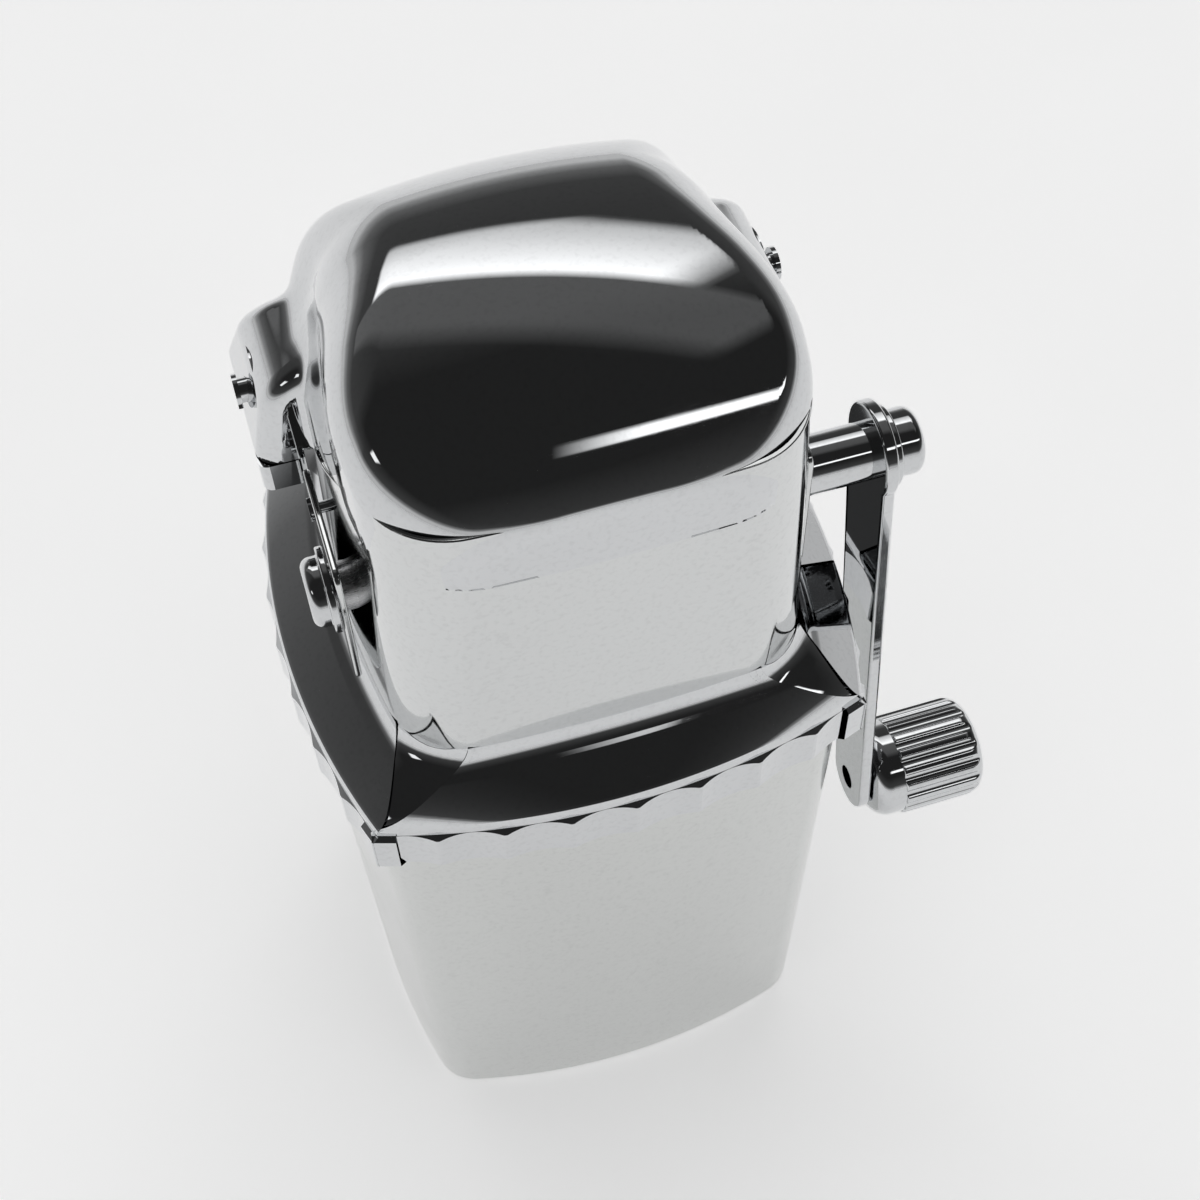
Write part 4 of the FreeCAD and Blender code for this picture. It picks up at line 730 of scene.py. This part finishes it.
def slab(skin, edge, normal, x0, x1, bevel):
    """A flat plate across X with softened edges; edge and normal are in y and z."""
    turns = np.radians(np.linspace(0, 90, 5))
    near = [(x0 + bevel * (1 - math.sin(t)), bevel * (1 - math.cos(t)), -math.sin(t), math.cos(t))
            for t in turns[::-1]]
    far = [(x1 - bevel * (1 - math.sin(t)), bevel * (1 - math.cos(t)), math.sin(t), math.cos(t))
           for t in turns]
    for group in (near, [near[-1], far[0]], far):
        points = np.array([np.column_stack([np.full(len(edge), x), edge - normal * inward])
                           for x, inward, _, _ in group])
        facing = np.array([np.column_stack([np.full(len(edge), nx), normal * out])
                           for _, _, nx, out in group])
        skin.patch(points, facing, True)
    return edge - normal * bevel


def arm_edge():
    """Outline of the arm in y and z: hub, straight bar and rounded end."""
    hub, end = 10.4, 8.0
    along = np.array([-math.sin(ARM_TILT), -math.cos(ARM_TILT)])
    across = np.array([math.cos(ARM_TILT), -math.sin(ARM_TILT)])
    open_angle = math.degrees(math.asin(end / hub))
    points = arc(0, 0, hub, open_angle + 6, 360 - open_angle - 6, 44)
    tail = arc(ARM_LENGTH, 0, end, -90, 90, 24)
    local = np.concatenate([points, tail])
    normal = np.concatenate([points / hub, (tail - [ARM_LENGTH, 0]) / end])
    place = np.array([SHAFT_Y, SHAFT_Z]) + local[:, :1] * along + local[:, 1:] * across
    return place, normal[:, :1] * along + normal[:, 1:] * across


def make_arm():
    edge, normal = arm_edge()
    a, b = low("crank_arm")[0], high("crank_arm")[0]
    skin = Skin()
    rim = slab(skin, edge, normal, a, b, 0.7)
    for x, nx in ((a, -1.0), (b, 1.0)):
        close(skin, rim, x, nx)
    skin.build("arm_bar", BRIGHT, "rotor", "crank_arm")


def close(skin, rim, x, nx):
    """Fills a flat face inside a rim by joining its two halves point to point."""
    half = len(rim) // 2
    first, second = rim[:half], rim[::-1][:half]
    points = np.array([[(x, *p) for p in first], [(x, *p) for p in second]])
    skin.patch(points, np.tile([nx, 0.0, 0.0], (2, half, 1)))


def make_knob():
    """The fluted grip with its rounded outer end."""
    a, b = low("crank_knob")[0], high("crank_knob")[0]
    radius, soft, flutes, flute, depth = 12.5, 4.0, 18, 1.9, 0.7
    profile = [[(a, 3.0), (a, radius - 0.6)],
               arc(a + 0.6, radius - 0.6, 0.6, 180, 90, 4),
               np.column_stack([np.linspace(a + 0.6, b - soft, 14), np.full(14, radius)]),
               arc(b - soft, radius - soft, soft, 90, 0, 14),
               [(b, radius - soft), (b, 8.0)], [(b, 8.0), (b - 2.0, 8.0)]]
    steps = flutes * 16
    angle = np.arange(steps) / steps * TAU
    away = (angle + math.pi / flutes) % (TAU / flutes) - math.pi / flutes
    reach = radius + flute - depth
    offset = reach * np.sin(away)
    under = np.sqrt(np.maximum(flute ** 2 - offset ** 2, 0))
    hollow = np.minimum(np.where(np.abs(offset) < flute, reach * np.cos(away) - under, radius), radius)
    skin = Skin()
    for part in profile:
        part = np.array(part, float)
        lengths = np.minimum(part[:, 1:], hollow[None, :])
        ring = np.stack([np.zeros(steps), np.cos(angle), np.sin(angle)], -1)
        points = part[:, None, :1] * np.array([1.0, 0, 0]) + lengths[..., None] * ring + [0, GRIP_Y, GRIP_Z]
        skin.patch(points, None, True, -1)
    skin.build("knob_grip", BRIGHT, "grip", "crank_knob")


def make_collar():
    a, b = low("knob_collar")[0], high("knob_collar")[0]
    radius, soft = 11.9, 4.5
    skin = Skin()
    for part in ([(a, 3.2), (a, radius - soft)], arc(a + soft, radius - soft, soft, 180, 90, 16),
                 [(a + soft, radius), (b, radius)], [(b, radius), (b, 3.2)]):
        skin.lathe(part, GRIP_Y, GRIP_Z)
    skin.build("collar_turned", BRIGHT, "grip", "knob_collar")


def make_end_cap():
    a, b = low("knob_end_cap")[0], high("knob_end_cap")[0]
    skin = Skin()
    for part in ([(a, 0.0), (a, 7.9)], [(a, 7.9), (b - 0.7, 7.9)], arc(b - 0.7, 7.2, 0.7, 90, 0, 5),
                 [(b, 7.2), (b, 0.0)]):
        skin.lathe(part, GRIP_Y, GRIP_Z)
    skin.build("end_cap_disc", BRIGHT, "grip", "knob_end_cap")


# ---------------------------------------------------------------- side covers
def rounded_box(y0, y1, z0, z1, radius, steps=8):
    corners = [(y1 - radius, z0 + radius, -90), (y1 - radius, z1 - radius, 0),
               (y0 + radius, z1 - radius, 90), (y0 + radius, z0 + radius, 180)]
    points = [arc(y, z, radius, start, start + 90, steps) for y, z, start in corners]
    normals = [(p - [y, z]) / radius for p, (y, z, start) in zip(points, corners)]
    return np.concatenate(points), np.concatenate(normals)


def make_side_cover(side, bore):
    node = "right_side_cover" if side > 0 else "left_side_cover"
    box_low, box_high = low(node), high(node)
    edge, normal = rounded_box(box_low[1], box_high[1], box_low[2], box_high[2], 3.0)
    skin = Skin()
    rim = slab(skin, edge, normal, box_low[0], box_high[0], 0.5)
    middle = np.array([SHAFT_Y, SHAFT_Z])
    hole = middle + unit(rim - middle) * bore
    for x, nx in ((box_low[0], -1.0), (box_high[0], 1.0)):
        points = np.array([[(x, *p) for p in rim], [(x, *p) for p in hole]])
        skin.patch(points, np.tile([nx, 0.0, 0.0], (2, len(rim), 1)), True)
    tube = np.array([[(x, *p) for p in hole] for x in (box_low[0], box_high[0])])
    inward = np.column_stack([np.zeros(len(hole)), unit(middle - hole)])
    skin.patch(tube, np.tile(inward, (2, 1, 1)), True)
    skin.build(node.replace("_side_cover", "_cover_plate"), SHEET, "head", node)


# ---------------------------------------------------------------- carried-over nodes
def dress_nodes():
    slots = {part["node"]: part["slot"] for part in node_slots()}
    for name, item in frame["nodes"].items():
        look = SLOT_LOOKS[slots.get(name, "plated_plastic")]
        item.data.materials.clear()
        item.data.materials.append(look)


def node_slots():
    """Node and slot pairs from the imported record."""
    pairs = []

    def walk(item):
        if isinstance(item, dict):
            name = item.get("node") or item.get("name")
            slot = item.get("slot") or item.get("material_slot") or item.get("material")
            if name in frame["nodes"] and slot in SLOT_LOOKS:
                pairs.append({"node": name, "slot": slot})
            for value in item.values():
                walk(value)
        elif isinstance(item, list):
            for value in item:
                walk(value)

    walk(frame["record"])
    return pairs


# ---------------------------------------------------------------- floor, light, camera
FLOOR_GLOW = 0.40
CEILING_REACH = 4.0
SOFT_BOX = (43, [(-1.7, 0.0), (-1.5, 1.0), (0.08, 1.0), (0.26, 0.0)],
            [(0.50, 0.0), (0.56, 1.6), (0.68, 1.25), (0.85, 0.9), (0.98, 0.7), (1.10, 0.0)])
GREY_PANEL = (43, [(-3.4, 0.0), (-3.0, 0.085), (0.62, 0.085), (0.74, 0.0)],
              [(0.06, 0.0), (0.20, 1.0), (0.50, 1.0), (0.56, 0.0)])
RIGHT_STRIP = (0, [(0.1, 0.0), (0.45, 1.0), (1.6, 1.0), (1.75, 0.0)],
               [(-1.22, 0.0), (-1.18, 1.8), (-1.04, 1.8), (-0.98, 0.0)])
LEFT_WINDOW = (0, [(-2.6, 0.0), (-2.5, 1.0), (-1.8, 1.0), (-1.7, 0.0)],
               [(-0.9, 0.0), (-0.8, 1.3), (-0.5, 1.3), (-0.4, 0.0)])
CEILING_LIGHTS = (SOFT_BOX, GREY_PANEL, RIGHT_STRIP, LEFT_WINDOW)


def make_floor():
    """The table top."""
    mesh = bpy.data.meshes.new("floor")
    reach = 3.0
    mesh.from_pydata([(-reach, -reach, 0), (reach, -reach, 0), (reach, reach, 0), (-reach, reach, 0)], [],
                     [(0, 1, 2, 3)])
    floor = bpy.data.objects.new("floor", mesh)
    bpy.context.collection.objects.link(floor)
    item, nodes, links, shader = material("floor_paint")
    shader.inputs["Roughness"].default_value = 0.8
    shader.inputs["Emission Color"].default_value = (1, 1, 1, 1)
    shader.inputs["Emission Strength"].default_value = FLOOR_GLOW
    paint = ramp(nodes, links, noise(nodes, links, 6, 3), [(0.3, 0.90), (0.7, 0.93)])
    links.new(paint, shader.inputs["Base Color"])
    mesh.materials.append(item)


def ceiling_light(nodes, links, across, along, over_across, over_along):
    """Brightness over a ceiling one unit up: the product of a ramp across it and a ramp along it."""
    parts = []
    for source, stops in ((across, over_across), (along, over_along)):
        share = combine(nodes, links, source, None, "MULTIPLY_ADD", 1 / (2 * CEILING_REACH))
        share.node.inputs[2].default_value = 0.5
        places = [(0.5 + at / (2 * CEILING_REACH), level) for at, level in stops]
        parts.append(ramp(nodes, links, share, places))
    return combine(nodes, links, parts[0], parts[1], "MULTIPLY")


def make_world():
    """A dark room with a pale horizon and its lights, as a function of direction."""
    world = bpy.context.scene.world or bpy.data.worlds.new("world")
    bpy.context.scene.world = world
    world.use_nodes = True
    nodes, links = world.node_tree.nodes, world.node_tree.links
    place = nodes.new("ShaderNodeTexCoord")
    split = nodes.new("ShaderNodeSeparateXYZ")
    links.new(place.outputs["Generated"], split.inputs[0])
    back, up = split.outputs[1:]
    height = combine(nodes, links, up, None, "MAXIMUM", 0.02)
    total = None
    for angle, over_across, over_along in CEILING_LIGHTS:
        turned = nodes.new("ShaderNodeVectorRotate")
        turned.rotation_type = "Z_AXIS"
        turned.inputs["Angle"].default_value = math.radians(angle)
        links.new(place.outputs["Generated"], turned.inputs["Vector"])
        parts = nodes.new("ShaderNodeSeparateXYZ")
        links.new(turned.outputs[0], parts.inputs[0])
        across = combine(nodes, links, parts.outputs[0], height, "DIVIDE")
        along = combine(nodes, links, parts.outputs[1], height, "DIVIDE")
        level = ceiling_light(nodes, links, across, along, over_across, over_along)
        total = level if total is None else combine(nodes, links, total, level)
    behind = ramp(nodes, links, up, [(0.0, 0.60), (0.06, 0.32), (0.15, 0.14), (0.3, 0.06), (1.0, 0.035)])
    ahead = ramp(nodes, links, up, [(0.0, 0.60), (0.05, 0.25), (0.12, 0.06), (0.5, 0.02), (1.0, 0.02)])
    turn = ramp(nodes, links, back, [(0.0, 0.0), (0.25, 1.0)])
    mix = nodes.new("ShaderNodeMix")
    mix.data_type = "RGBA"
    links.new(turn, mix.inputs["Factor"])
    links.new(ahead, mix.inputs["A"])
    links.new(behind, mix.inputs["B"])
    result = nodes.new("ShaderNodeMix")
    result.data_type, result.blend_type = "RGBA", "ADD"
    result.inputs["Factor"].default_value = 1.0
    links.new(mix.outputs["Result"], result.inputs["A"])
    links.new(total, result.inputs["B"])
    links.new(result.outputs["Result"], nodes["Background"].inputs["Color"])


def make_lights():
    """A wash of light on the table that the chrome doesn't show, and the room round it."""
    light = bpy.data.lights.new("floor_wash", "AREA")
    light.shape = "RECTANGLE"
    light.size, light.size_y = 4.5, 4.5
    light.energy = 56
    wash = bpy.data.objects.new("floor_wash", light)
    wash.location = (0.0, 0.3, 3.0)
    wash.visible_glossy = False
    bpy.context.collection.objects.link(wash)
    make_world()


def make_camera():
    """A view from the front left and above, as a photographer standing at a table has it."""
    turn, tilt, roll = math.radians(-16.07), math.radians(54.37), math.radians(-1.73)
    back = Vector((math.sin(turn) * math.cos(tilt), -math.cos(turn) * math.cos(tilt), math.sin(tilt)))
    right = (-back).cross(Vector((0, 0, 1))).normalized()
    up = right.cross(-back)
    right, up = (math.cos(roll) * right + math.sin(roll) * up, math.cos(roll) * up - math.sin(roll) * right)
    turned = Matrix((right, up, back)).transposed()
    data = bpy.data.cameras.new("camera")
    data.sensor_width, data.lens = 36.0, 54.0
    data.shift_y = -0.0025
    data.clip_start = 0.01
    camera = bpy.data.objects.new("camera", data)
    camera.matrix_world = Matrix.Translation(Vector((-56.32, -234.66, 479.97)) * MM) @ turned.to_4x4()
    bpy.context.collection.objects.link(camera)
    bpy.context.scene.camera = camera
    bpy.context.scene.view_settings.view_transform = "Standard"


dress_nodes()
make_cup()
make_ring()
make_shell()
make_lid()
make_nut("cap_nut_turned", "shaft_cap_nut", "rotor", -1, 3.6)
make_nut("hub_nut_turned", "crank_hub_nut", "rotor", 1, 6.0)
make_sleeve()
make_arm()
make_knob()
make_collar()
make_end_cap()
make_side_cover(1, 6.75)
make_side_cover(-1, 5.5)
make_floor()
make_lights()
make_camera()
